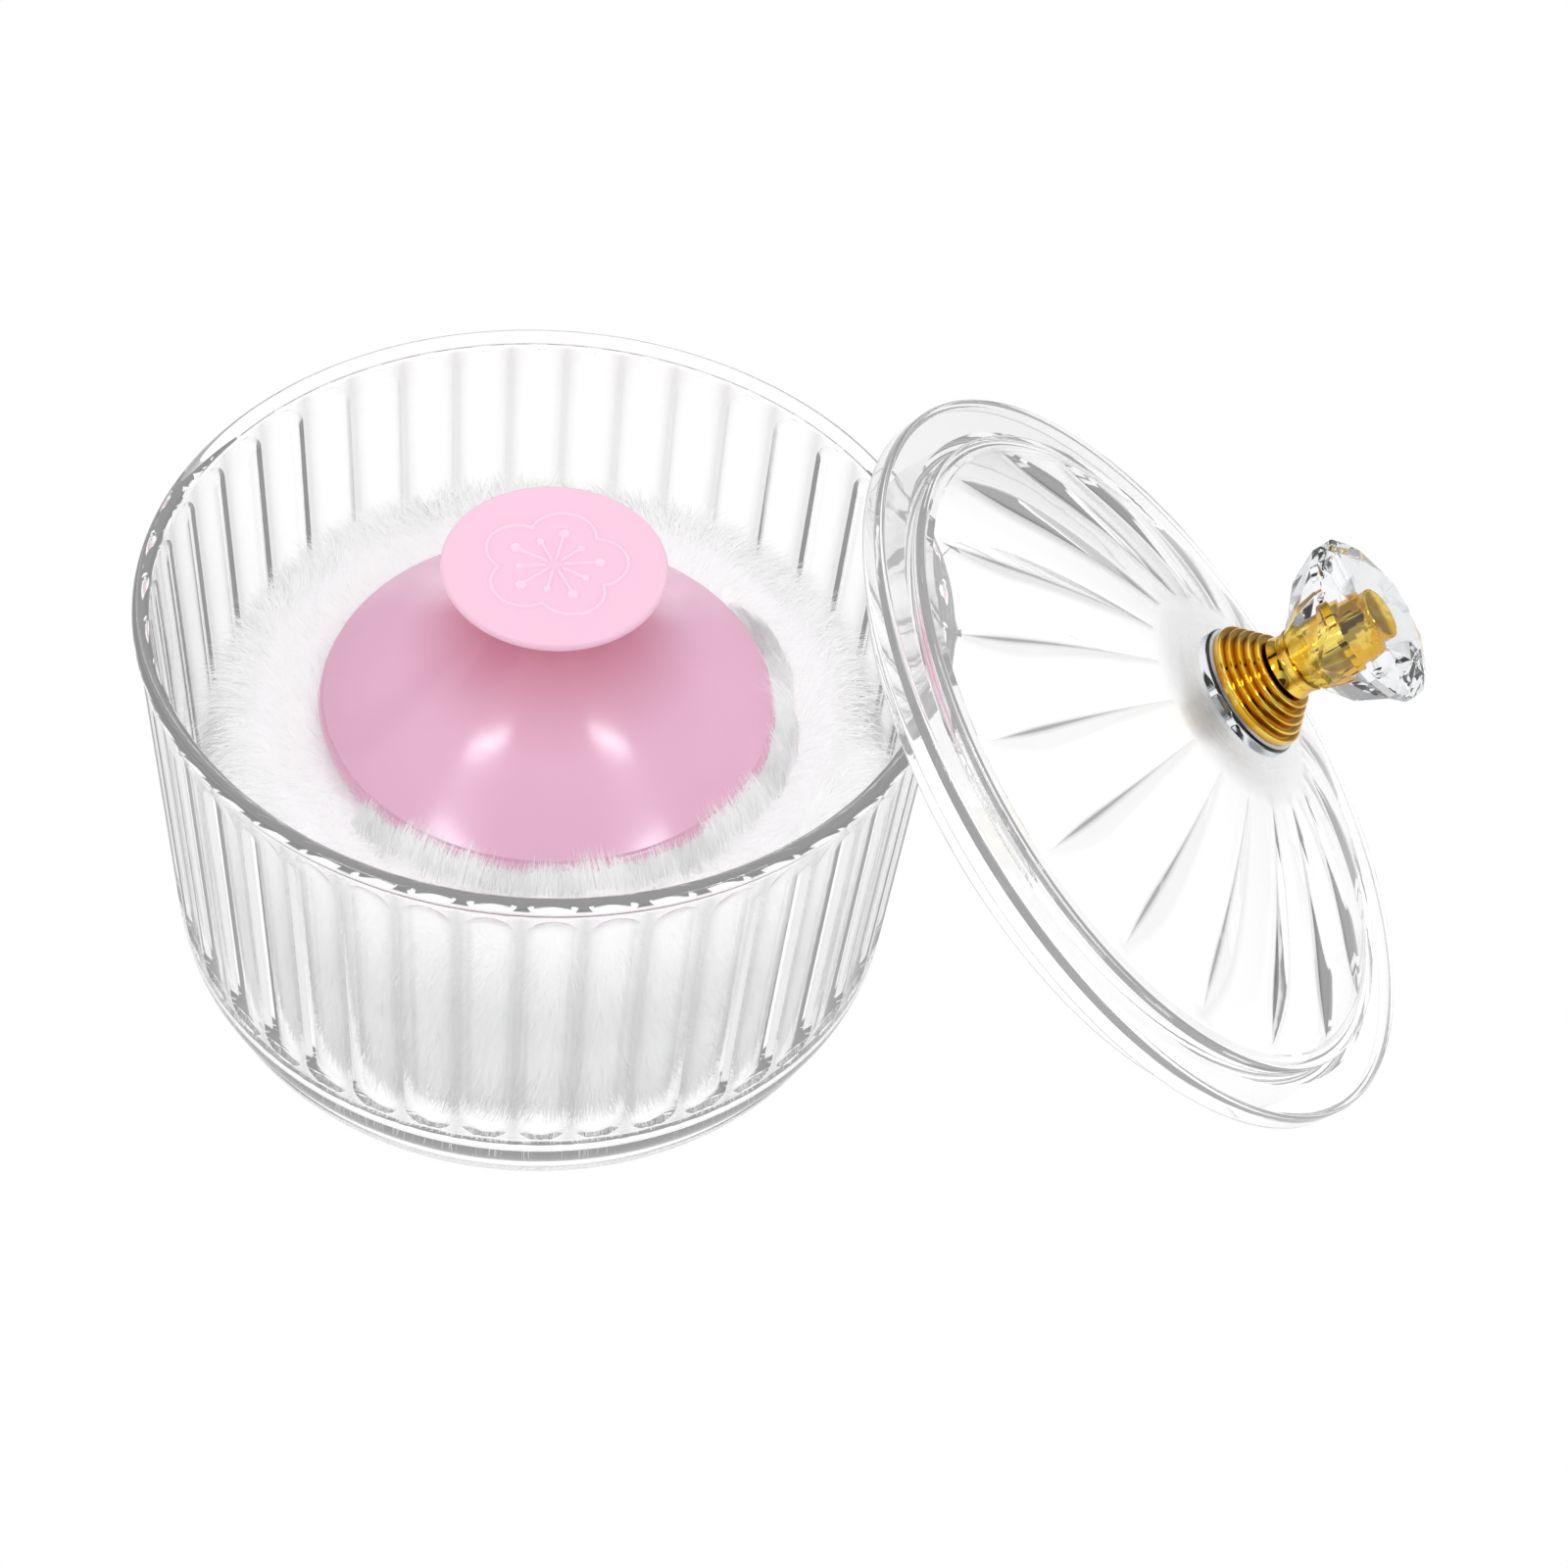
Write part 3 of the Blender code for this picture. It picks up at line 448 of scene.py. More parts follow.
# %% Model the collar and the stepped base
COLLAR_RADIUS = 0.0088
COLLAR_HEIGHT = 0.0014
COLLAR_EDGE = 0.0004
ROSETTE_RADIUS = 0.0083
ROSETTE_TOP_RADIUS = 0.0052
ROSETTE_HEIGHT = 0.0048
ROSETTE_PLATE = 0.0012
ROSETTE_RINGS = 4
ROSETTE_EDGE = 0.00028
ROSETTE_HOLLOW = 0.00010

collar_foot = HUB_HEIGHT + SEAT_GAP
collar_top = collar_foot + COLLAR_HEIGHT
collar_outline = [(hole, collar_top)]
collar_outline += round_edge(COLLAR_RADIUS, collar_top, COLLAR_EDGE, 90, 0, 7)
collar_outline += [(COLLAR_RADIUS, collar_foot), (hole, collar_foot)]
collar = spun("knob_collar_clear", collar_outline, 96)
settle(collar, LID_PLACE, "lid", "crystal", "knob_collar")

rosette_foot = collar_top + SEAT_GAP
rosette_top = rosette_foot + ROSETTE_HEIGHT
plate_top_height = rosette_foot + ROSETTE_PLATE
ring = (ROSETTE_HEIGHT - ROSETTE_PLATE) / ROSETTE_RINGS


def ring_edge(radius, top, foot):
    """A round edge, and a riser that hollows in a little towards its foot."""
    return round_edge(radius, top, ROSETTE_EDGE, 90, -20, 9) + [(radius - ROSETTE_HOLLOW, foot)]


ring_feet = [(ROSETTE_RADIUS - ROSETTE_HOLLOW, rosette_foot)]
rosette_outline = [(hole, rosette_top)]
for index in reversed(range(ROSETTE_RINGS)):
    share = (index + 1) / ROSETTE_RINGS
    ring_radius = ROSETTE_RADIUS + share * (ROSETTE_TOP_RADIUS - ROSETTE_RADIUS)
    ring_foot = plate_top_height + ring * index
    rosette_outline += ring_edge(ring_radius, ring_foot + ring, ring_foot)
    ring_feet.append(rosette_outline[-1])
rosette_outline += ring_edge(ROSETTE_RADIUS, plate_top_height, rosette_foot)
rosette_outline += [(hole, rosette_foot)]


def rosette_corner_shade(radius, angle, height):
    """Painted shade: 1 in the corner at the foot of each ring, where the gold mirrors only itself."""
    return float(any(math.dist((radius, height), foot) < MERGE_DISTANCE for foot in ring_feet))


rosette = spun("knob_base_gold", rosette_outline, 128)
write_values(rosette, "reflection_shade", rosette_corner_shade)
settle(rosette, LID_PLACE, "lid", "gold", "knob_base")

# %% Model the stem with its insert
STEM_RADIUS = 0.0043
STEM_WAIST = 0.0002
STEM_SHOW = 0.0030
STEM_EDGE = 0.0002
INSERT_RADIUS = 0.0034
INSERT_LENGTH = 0.0100
INSERT_EDGE = 0.0004
SCREW_REACH = 0.0060
# Painted reflections: brown bands up the insert.
REFLECTION_BANDS = 6
REFLECTION_BAND_STRENGTH = 0.95

stem_foot = rosette_top + SEAT_GAP
crystal_foot = stem_foot + STEM_SHOW
stem_top = crystal_foot - SEAT_GAP
insert_end = stem_top + INSERT_LENGTH
stem_hole_top = stem_foot + SCREW_REACH + SEAT_GAP
stem_outline = [(0.0, insert_end)]
stem_outline += round_edge(INSERT_RADIUS, insert_end, INSERT_EDGE, 90, 0, 6)
stem_outline += [(INSERT_RADIUS, stem_top)]
stem_outline += round_edge(STEM_RADIUS, stem_top, STEM_EDGE, 90, 0, 5)
for share in np.linspace(0, 1, 12)[1:-1]:
    waist = STEM_WAIST * math.sin(math.pi * share)
    rise = stem_top - stem_foot - 2 * STEM_EDGE
    stem_outline.append((STEM_RADIUS - waist, stem_top - STEM_EDGE - share * rise))
stem_outline += round_edge(STEM_RADIUS, stem_foot + 2 * STEM_EDGE, STEM_EDGE, 0, -90, 5)
stem_outline += [(hole, stem_foot), (hole, stem_hole_top), (0.0, stem_hole_top)]


def stem_reflection_shade(radius, angle, height):
    """Painted shade and reflection: 1 at the stem's foot, and bands up the insert for the crystal's facets'
    brown reflections.
    """
    if height < stem_foot + STEM_EDGE:
        return 1.0
    if height > insert_end - INSERT_EDGE:
        return 0.0
    return REFLECTION_BAND_STRENGTH * max(0.0, math.sin(REFLECTION_BANDS * angle)) ** 2


stem = spun("knob_stem_gold", stem_outline, 96)
write_values(stem, "reflection_shade", stem_reflection_shade)
settle(stem, LID_PLACE, "lid", "gold", "knob_stem")

# %% [markdown]
# ## The crystal
#
# The crystal is moulded round the stem's insert, so no air lies between them and the gold shows
# clearly through every facet. Its corners lie on six rings. One circle is added for each ring in
# one edit session, and the convex hull of all the corners gives the facets. A very small bevel
# lets the facets' edges catch the light.

# %% Model the crystal
CRYSTAL_HEIGHT = 0.0123
CRYSTAL_SIDES = 8
CRYSTAL_NECK_RADIUS = 0.0044
CRYSTAL_BREAK = (0.0090, 0.37)
CRYSTAL_GIRDLE_RADIUS = 0.0111
CRYSTAL_GIRDLE_SHARES = (0.74, 0.83)
CRYSTAL_STAR = (0.0094, 0.93)
CRYSTAL_TABLE_RADIUS = 0.0070
CRYSTAL_BEVEL = 0.00008
FLAT_ANGLE = math.radians(1.0)
half_turn = math.pi / CRYSTAL_SIDES

neck_ring = (CRYSTAL_NECK_RADIUS, 0.0, CRYSTAL_SIDES, 0.0)
break_ring = (*CRYSTAL_BREAK, CRYSTAL_SIDES, half_turn)
girdle = [(CRYSTAL_GIRDLE_RADIUS, share, 2 * CRYSTAL_SIDES, 0.0) for share in CRYSTAL_GIRDLE_SHARES]
star_ring = (*CRYSTAL_STAR, CRYSTAL_SIDES, half_turn)
table_ring = (CRYSTAL_TABLE_RADIUS, 1.0, CRYSTAL_SIDES, 0.0)

bpy.ops.mesh.primitive_circle_add(vertices=3)
crystal = start_piece("knob_crystal_clear")
bpy.ops.object.mode_set(mode="EDIT")
bpy.ops.mesh.delete(type="VERT")
for radius, share, count, turn in (neck_ring, break_ring, *girdle, star_ring, table_ring):
    middle_at = (0, 0, crystal_foot + CRYSTAL_HEIGHT * share)
    turned = (0, 0, turn + math.pi / 2)
    bpy.ops.mesh.primitive_circle_add(vertices=count, radius=radius, location=middle_at, rotation=turned)
on_all(bpy.ops.mesh.convex_hull)
on_all(bpy.ops.mesh.dissolve_limited, angle_limit=FLAT_ANGLE)
on_all(bpy.ops.mesh.bevel, offset=CRYSTAL_BEVEL)
on_all(bpy.ops.mesh.normals_make_consistent)
bpy.ops.object.mode_set(mode="OBJECT")
bpy.ops.object.shade_flat()
crystal_turn = Matrix.Rotation(LID_TURN, 4, "Z")
settle(crystal, LID_PLACE @ crystal_turn, "lid", "crystal", "knob_crystal")

# %% [markdown]
# ## The puff's handle
#
# The handle is moulded in pink plastic: a bell that flares from a slim neck out to a round edge on
# the plush, and a round cap for two fingers. The cap carries a five-petalled blossom in raised
# line. It is spun from five equal slices, and each grid point near a line of the blossom is lifted
# a quarter of a millimetre.

# %% Model the bell
PLUSH_TOP = 0.0387
BELL_RADIUS = 0.0286
BELL_HEIGHT = 0.0229
BELL_WALL = 0.0016
BELL_EDGE = 0.0022
NECK_RADIUS = 0.0068
BELL_FLARE_SHARE = 0.42
BELL_CREASE = math.radians(25.0)
BOSS_RADIUS = 0.0050
SPIGOT_RADIUS = 0.0034
SPIGOT_LENGTH = 0.0046
PUFF_SCREW_RADIUS = 0.0013
PUFF_SCREW_LENGTH = 0.0098
PLATE_THICKNESS = 0.0015
PLUSH_DIP = 0.0010
FABRIC = 0.0019
bell_foot = PLUSH_TOP + SEAT_GAP
neck_top = bell_foot + BELL_HEIGHT
plate_top = PLUSH_TOP - PLUSH_DIP - FABRIC - SEAT_GAP


def bell_points(inset, count):
    """The bell's face from its neck out to its edge."""
    foot = bell_foot + BELL_EDGE
    points = []
    for share in np.linspace(0.0, 1.0, count):
        fall = (1 - BELL_FLARE_SHARE) * (1 - (1 - share) ** 3) + BELL_FLARE_SHARE * share ** 2
        radius = NECK_RADIUS + (BELL_RADIUS - NECK_RADIUS) * share - inset
        points.append((radius, neck_top - (neck_top - foot) * fall - inset))
    return points


bell_bore = SPIGOT_RADIUS + HOLE_CLEARANCE
bore_floor = neck_top - SPIGOT_LENGTH - 2 * SEAT_GAP
screw_hole = PUFF_SCREW_RADIUS + HOLE_CLEARANCE
screw_hole_top = plate_top - PLATE_THICKNESS + PUFF_SCREW_LENGTH
edge = BELL_EDGE / 2
bell_outline = [(0.0, bore_floor), (bell_bore, bore_floor), (bell_bore, neck_top)]
bell_outline += bell_points(0.0, 40)[:-1]
bell_outline += round_edge(BELL_RADIUS, bell_foot + BELL_EDGE, edge, 60, -90, 12)
bell_outline += [(BELL_RADIUS - BELL_WALL - edge, bell_foot)]
bell_inner = [point for point in bell_points(BELL_WALL, 20)[::-1] if point[0] > BOSS_RADIUS + BELL_WALL]
bell_outline += [point for point in bell_inner if point[0] < BELL_RADIUS - BELL_WALL - 2 * edge]
bell_outline += [(BOSS_RADIUS, bell_outline[-1][1]), (BOSS_RADIUS, plate_top + SEAT_GAP)]
bell_outline += [(screw_hole, plate_top + SEAT_GAP), (screw_hole, screw_hole_top), (0.0, screw_hole_top)]
bell = spun("handle_bell_pink", bell_outline, 144, BELL_CREASE)
settle(bell, PUFF_PLACE, "puff", "pink_bell", "handle_bell")

# %% The blossom's lines
CAP_RADIUS = 0.0138
CAP_THICKNESS = 0.0021
CAP_EDGE = 0.0005
CAP_DISH = 0.0003
CAP_UNDERCUT = 0.0018
CAP_CREASE = math.radians(40.0)
PETALS = 5
BLOSSOM_TURN = math.radians(8.0)
PETAL_CENTRE = 0.0049
PETAL_RADIUS = 0.00405
LINE_HALF = 0.00026
LINE_HEIGHT = 0.00024
STAMEN_START = 0.0012
STAMEN_DOT_AT = 0.0055
STAMEN_DOT = 0.00050
SHORT_STAMEN_END = 0.0043
SHORT_STAMEN_DOT = 0.00030


def blossom_line(radius, angle):
    """Share of the line's height that stands at a point, angles counted from a petal's middle."""
    x = radius * math.cos(angle)
    y = abs(radius * math.sin(angle))
    side = math.pi / PETALS
    petal = abs(math.hypot(x - PETAL_CENTRE, y) - PETAL_RADIUS)
    if radius < PETAL_CENTRE:
        petal = LINE_HALF * PETALS
    long_stamen = math.hypot(x - min(max(x, STAMEN_START), STAMEN_DOT_AT), y)
    dot = max(0.0, math.hypot(x - STAMEN_DOT_AT, y) - STAMEN_DOT)
    along = x * math.cos(side) + y * math.sin(side)
    off = abs(y * math.cos(side) - x * math.sin(side))
    short_stamen = math.hypot(off, along - min(max(along, STAMEN_START), SHORT_STAMEN_END))
    short_dot = max(0.0, math.hypot(off, along - SHORT_STAMEN_END) - SHORT_STAMEN_DOT)
    near = min(petal, long_stamen, dot, short_stamen, short_dot) / LINE_HALF
    return math.exp(-near ** 4)


# %% Model the cap
cap_foot = neck_top + SEAT_GAP
cap_top = cap_foot + CAP_THICKNESS
cap_flat = CAP_RADIUS - 2 * CAP_EDGE
cap_widest = cap_top - CAP_EDGE
cap_rows = [(r, cap_top - CAP_DISH * (1 - (r / cap_flat) ** 2), 1) for r in np.linspace(0.0, cap_flat, 92)]
cap_rows += round_edge(CAP_RADIUS, cap_top, CAP_EDGE, 80, 0, 8)
cap_rows += arc(CAP_RADIUS - CAP_UNDERCUT, cap_widest, CAP_UNDERCUT, cap_widest - cap_foot, 0, -90, 12)[1:]
spigot_foot = cap_foot - SPIGOT_LENGTH
cap_rows += [(SPIGOT_RADIUS, cap_foot), (SPIGOT_RADIUS, spigot_foot), (0.0, spigot_foot)]
PETAL_PITCH = 2 * math.pi / PETALS
petal_shares = np.linspace(-0.5, 0.5, 73)


def cap_point(row, share):
    """Place of a grid point on the cap, lifted where a line of the blossom passes."""
    radius, height, carved = row
    angle = share * PETAL_PITCH
    lift = LINE_HEIGHT * blossom_line(radius, angle) if carved else 0.0
    return radius, angle, height + lift


def cap_raised(radius, angle, height):
    """How much of a line stands at a point of the cap."""
    on_face = radius < cap_flat and height > cap_widest - CAP_DISH
    return blossom_line(radius, within(angle - BLOSSOM_TURN, PETAL_PITCH)) if on_face else 0.0


cap = spun_slices("handle_cap_pink", cap_rows, petal_shares, cap_point, PETALS, BLOSSOM_TURN, CAP_CREASE)
write_values(cap, "raised", cap_raised)
settle(cap, PUFF_PLACE, "puff", "pink_cap", "handle_cap")

# %% [markdown]
# ## The plush
#
# The puff is a thick disc of soft white pile. Its body is a smooth crowned form, drawn in a little
# from the outline that the pile reaches, and tens of thousands of fine tapered tufts stand on it.
# Each tuft is a flat three-sided spike with one bend. The pile lies over at a slant that wanders
# from place to place, and neighbouring tufts draw together, as pile does when it has been handled.
# At the front and the right some lean over the bell's edge. Light passes through real white
# fibres, so the tufts cast no shadow here, and each is shaded much as the surface under it.

# %% Model the plush body
PLUSH_WIDEST = 0.0225
PLUSH_CROWN_RADIUS = 0.0345
PLUSH_SOLE_RADIUS = 0.0270
PLUSH_MOUTH_RADIUS = 0.0200
PLUSH_CLEARANCE = 0.0032
PLUSH_SIDE = 0.0112
POCKET_FLOOR = 0.0140
PILE_INSET = 0.0008
FULLNESS = 3.0
PLUSH_CREASE = math.radians(30.0)
plush_radius = wall_radius(PLUSH_WIDEST) - POT_WALL - PLUSH_CLEARANCE
pocket_radius = plush_radius - PLUSH_SIDE
plush_foot = FLOOR_HEIGHT + SEAT_GAP
fabric_under = PLUSH_TOP - PLUSH_DIP - FABRIC
body_radius = plush_radius - PILE_INSET
body_top = PLUSH_TOP - PLUSH_DIP
crown_r, crown_z = body_radius - PLUSH_CROWN_RADIUS, body_top - PLUSH_WIDEST
sole_r, sole_z = body_radius - PLUSH_SOLE_RADIUS, PLUSH_WIDEST - plush_foot


def unit(rows):
    """Directions brought to length one."""
    return rows / np.linalg.norm(rows, axis=1, keepdims=True)


def surface_frame(share):
    """Radii, heights and outward normals at shares of the way down the body's full round side."""
    angle = np.radians(90 - 180 * share)
    upper = angle > 0
    radius_r = np.where(upper, crown_r, sole_r)
    radius_z = np.where(upper, crown_z, sole_z)
    centre_r = np.where(upper, PLUSH_CROWN_RADIUS, PLUSH_SOLE_RADIUS)
    across_share = np.abs(np.cos(angle)) ** (2 / FULLNESS)
    up_share = np.sign(angle) * np.abs(np.sin(angle)) ** (2 / FULLNESS)
    steep = np.sign(up_share) * np.abs(up_share) ** (FULLNESS - 1)
    normal = unit(np.stack([across_share ** (FULLNESS - 1) / radius_r, steep / radius_z], axis=1))
    return centre_r + radius_r * across_share, PLUSH_WIDEST + radius_z * up_share, normal


plush_outline = [(0.0, POCKET_FLOOR), (pocket_radius, POCKET_FLOOR), (pocket_radius, fabric_under)]
plush_outline += [(PLUSH_MOUTH_RADIUS, fabric_under), (PLUSH_MOUTH_RADIUS, body_top)]
plush_outline += list(zip(*surface_frame(np.linspace(0.0, 1.0, 47))[:2]))
plush_outline += [(0.0, plush_foot)]
plush = spun("puff_plush_body", plush_outline, 96, PLUSH_CREASE)
settle(plush, PUFF_PLACE, "puff", "plush", "puff_plush")

# %% Turning tufts into a mesh
TUFT_HALF = 0.00008
WIDTH_RANGE = (0.6, 1.3)
TUFT_SIDES = 3
BLADE_FLATNESS = 0.35
BLADE_STRAY = 0.12
BEND_WIDTH_SHARE = 0.7
TUFT_POINTS = 2 * TUFT_SIDES + 1
SEED = 7
rng = np.random.default_rng(SEED)


def tuft_mesh(name, roots, bends, tips, normals):
    """Flat three-sided tapered spikes with one bend each, broad side outward, as one mesh."""
    count = len(roots)
    along = unit(tips - roots)
    side = np.cross(along, normals + rng.normal(scale=BLADE_STRAY, size=(count, 3)))
    side *= (TUFT_HALF * rng.uniform(*WIDTH_RANGE, count) / np.linalg.norm(side, axis=1))[:, None]
    other = np.cross(side, along) * BLADE_FLATNESS
    points = np.zeros((count, TUFT_POINTS, 3))
    for i in range(TUFT_SIDES):
        a = 2 * math.pi * i / TUFT_SIDES
        out = -side * math.sin(a) - other * math.cos(a)
        points[:, i] = roots + out
        points[:, TUFT_SIDES + i] = bends + out * BEND_WIDTH_SHARE
    points[:, -1] = tips
    quads = [(i, (i + 1) % 3, 3 + (i + 1) % 3, 3 + i) for i in range(TUFT_SIDES)]
    spikes = [(3 + i, 3 + (i + 1) % 3, 6) for i in range(TUFT_SIDES)] + [(2, 1, 0)]
    base = np.arange(count)[:, None, None] * TUFT_POINTS
    corners = np.concatenate([(base + np.array(quads)).ravel(), (base + np.array(spikes)).ravel()])
    sizes = np.repeat([4, 3], [count * len(quads), count * len(spikes)])
    starts = np.cumsum(sizes) - sizes
    mesh = bpy.data.meshes.new(name)
    mesh.vertices.add(count * TUFT_POINTS)
    mesh.vertices.foreach_set("co", points.reshape(-1).astype(np.float32))
    mesh.loops.add(len(corners))
    mesh.loops.foreach_set("vertex_index", corners.astype(np.int32))
    mesh.polygons.add(len(sizes))
    mesh.polygons.foreach_set("loop_start", starts.astype(np.int32))
    mesh.update(calc_edges=True)
    mesh.validate()
    return add_object(name, mesh)


# %% Growing pile from points of the plush
LENGTH_RANGE = (0.7, 1.2)
PILE_RISE = 0.5
PILE_LAY = 0.85
BEND_LIFT = 0.1
SWIRL = 0.6
SWIRL_WAVES = [(3, 260.0, 0.0), (7, -410.0, 1.0)]
SWIRL_STRAY = 0.45
CLUMP_SIZE = 0.0014
CLUMP_STRAY = 0.3
CLUMP_PULL = 0.3
TUFT_STRAY = 0.00022
SHADE_STRAY = 0.16


def turn_out(r, z, turn):
    """Points or directions from radii, heights and turns."""
    return np.stack([r * np.cos(turn), r * np.sin(turn), z], axis=1)


def grow(name, r, z, normal, turn, lengths, lean=0.0, rise=PILE_RISE, lay=PILE_LAY):
    """Tufts that rise and lie over from their roots, drawn together in clumps and leaned outward."""
    roots = turn_out(r, z, turn)
    normals = turn_out(normal[:, 0], normal[:, 1], turn)
    lengths = (lengths * rng.uniform(*LENGTH_RANGE, len(roots)))[:, None]
    wander = SWIRL * sum(np.sin(count * turn + wave * r + start) for count, wave, start in SWIRL_WAVES)
    wander += rng.normal(scale=SWIRL_STRAY, size=len(roots))
    round_way = np.stack([-np.sin(turn), np.cos(turn), 0 * turn], axis=1)
    down_way = np.cross(round_way, normals)
    slant = down_way * np.cos(wander)[:, None] + round_way * np.sin(wander)[:, None]
    tips = roots + (normals * rise + slant * lay) * lengths
    clump = np.round(tips / CLUMP_SIZE + rng.normal(scale=CLUMP_STRAY, size=tips.shape)) * CLUMP_SIZE
    tips = tips + (clump - tips) * CLUMP_PULL + turn_out(lean, 0 * turn, turn)
    tips += rng.normal(scale=TUFT_STRAY, size=tips.shape)
    bends = (roots + tips) / 2 + normals * lengths * BEND_LIFT
    piece = tuft_mesh(name, roots, bends, tips, normals)
    settle(piece, PUFF_PLACE, "puff", "plush")
    shade = unit(normals + rng.normal(scale=SHADE_STRAY, size=normals.shape))
    piece.data.normals_split_custom_set_from_vertices(np.repeat(shade, TUFT_POINTS, axis=0).tolist())
    piece.visible_shadow = False
    piece.visible_diffuse = False
    return piece


# %% Grow the top of the pile
TOP_TUFTS = 46000
TOP_LENGTH = 0.0034
SHOULDER_LENGTH = 0.0064
FLAT_START = 0.0270
FLAT_SHARE = 0.42
FAR_SHARE = 0.40
SHOULDER_POWER = 0.7
turn = rng.uniform(0.0, 2 * math.pi, TOP_TUFTS)
r, z, normal = surface_frame(rng.uniform(0.0, FAR_SHARE, TOP_TUFTS))
flat = rng.random(TOP_TUFTS) < FLAT_SHARE
r = np.where(flat, rng.uniform(FLAT_START, PLUSH_CROWN_RADIUS, TOP_TUFTS), r)
z = np.where(flat, body_top, z)
normal[flat] = (0.0, 1.0)
under_bell = r < BELL_RADIUS + TUFT_HALF
shoulder = np.clip((r - PLUSH_CROWN_RADIUS) / (body_radius - PLUSH_CROWN_RADIUS), 0.0, 1.0)
lengths = TOP_LENGTH + (SHOULDER_LENGTH - TOP_LENGTH) * np.sin(np.pi * shoulder ** SHOULDER_POWER)
lengths = np.where(under_bell, PLUSH_DIP, lengths)
lean = np.where(under_bell, PLUSH_DIP / 2, 0.0)
top_pile = grow("puff_pile_top", r, z, normal, turn, lengths, lean)

# %% Grow the side of the pile
SIDE_TUFTS = 20000
SIDE_SHARES = (0.34, 0.9)
SIDE_LENGTH = 0.0032
SIDE_RISE = 0.8
turn = rng.uniform(0.0, 2 * math.pi, SIDE_TUFTS)
r, z, normal = surface_frame(rng.uniform(*SIDE_SHARES, SIDE_TUFTS))
side_pile = grow("puff_pile_side", r, z, normal, turn, SIDE_LENGTH, rise=SIDE_RISE)

# %% Comb long tufts over the bell's edge
FRINGE_TUFTS = 8000
FRINGE_ARC = (math.radians(-138.0), math.radians(38.0))
FRINGE_START = 0.0291
FRINGE_WIDTH = 0.0030
FRINGE_RISE = 0.0042
FRINGE_REACH = 0.0048
FRINGE_LAY = 0.15
PATCH_WAVES = [(0.3, 9, 1.0), (0.2, 23, 0.0)]
LOW_RISE, PATCH_RISE = 0.8, 0.3
REACH_RANGE = (0.6, 1.5)
REACH_LIMITS = (0.3, 1.2)
turn = rng.uniform(*FRINGE_ARC, FRINGE_TUFTS)
r = FRINGE_START + FRINGE_WIDTH * rng.random(FRINGE_TUFTS)
z = np.full(FRINGE_TUFTS, body_top)
upward = np.tile((0.0, 1.0), (FRINGE_TUFTS, 1))
patches = 0.5 + sum(height * np.sin(count * turn + start) for height, count, start in PATCH_WAVES)
lengths = FRINGE_RISE * (LOW_RISE + PATCH_RISE * patches)
reach = FRINGE_REACH * np.clip(patches * rng.uniform(*REACH_RANGE, FRINGE_TUFTS), *REACH_LIMITS)
fringe = grow("puff_pile_fringe", r, z, upward, turn, lengths, -reach, rise=1.0, lay=FRINGE_LAY)

# %% [markdown]
# ## Writing a finish as sums
#
# A finish is a small graph of shader nodes. To keep it readable, a class wraps a socket, so that a
# sum or a product of two values writes its own Math node. One method adds any other node from its
# type, its settings and what goes into its sockets.

# %% The finish helper
class Value:
    """An output socket that takes part in sums and products."""

    def __init__(self, finish, socket):
        self.finish = finish
        self.socket = socket

    def work(self, operation, first, second):
        return self.finish.add("Math", {"operation": operation}, {0: first, 1: second})

    def __add__(self, other):
        return self.work("ADD", self, other)

    def __rsub__(self, other):
        return self.work("SUBTRACT", other, self)

    def __mul__(self, other):
        return self.work("MULTIPLY", self, other)

    def __pow__(self, other):
        return self.work("POWER", self, other)

    __radd__ = __add__
    __rmul__ = __mul__


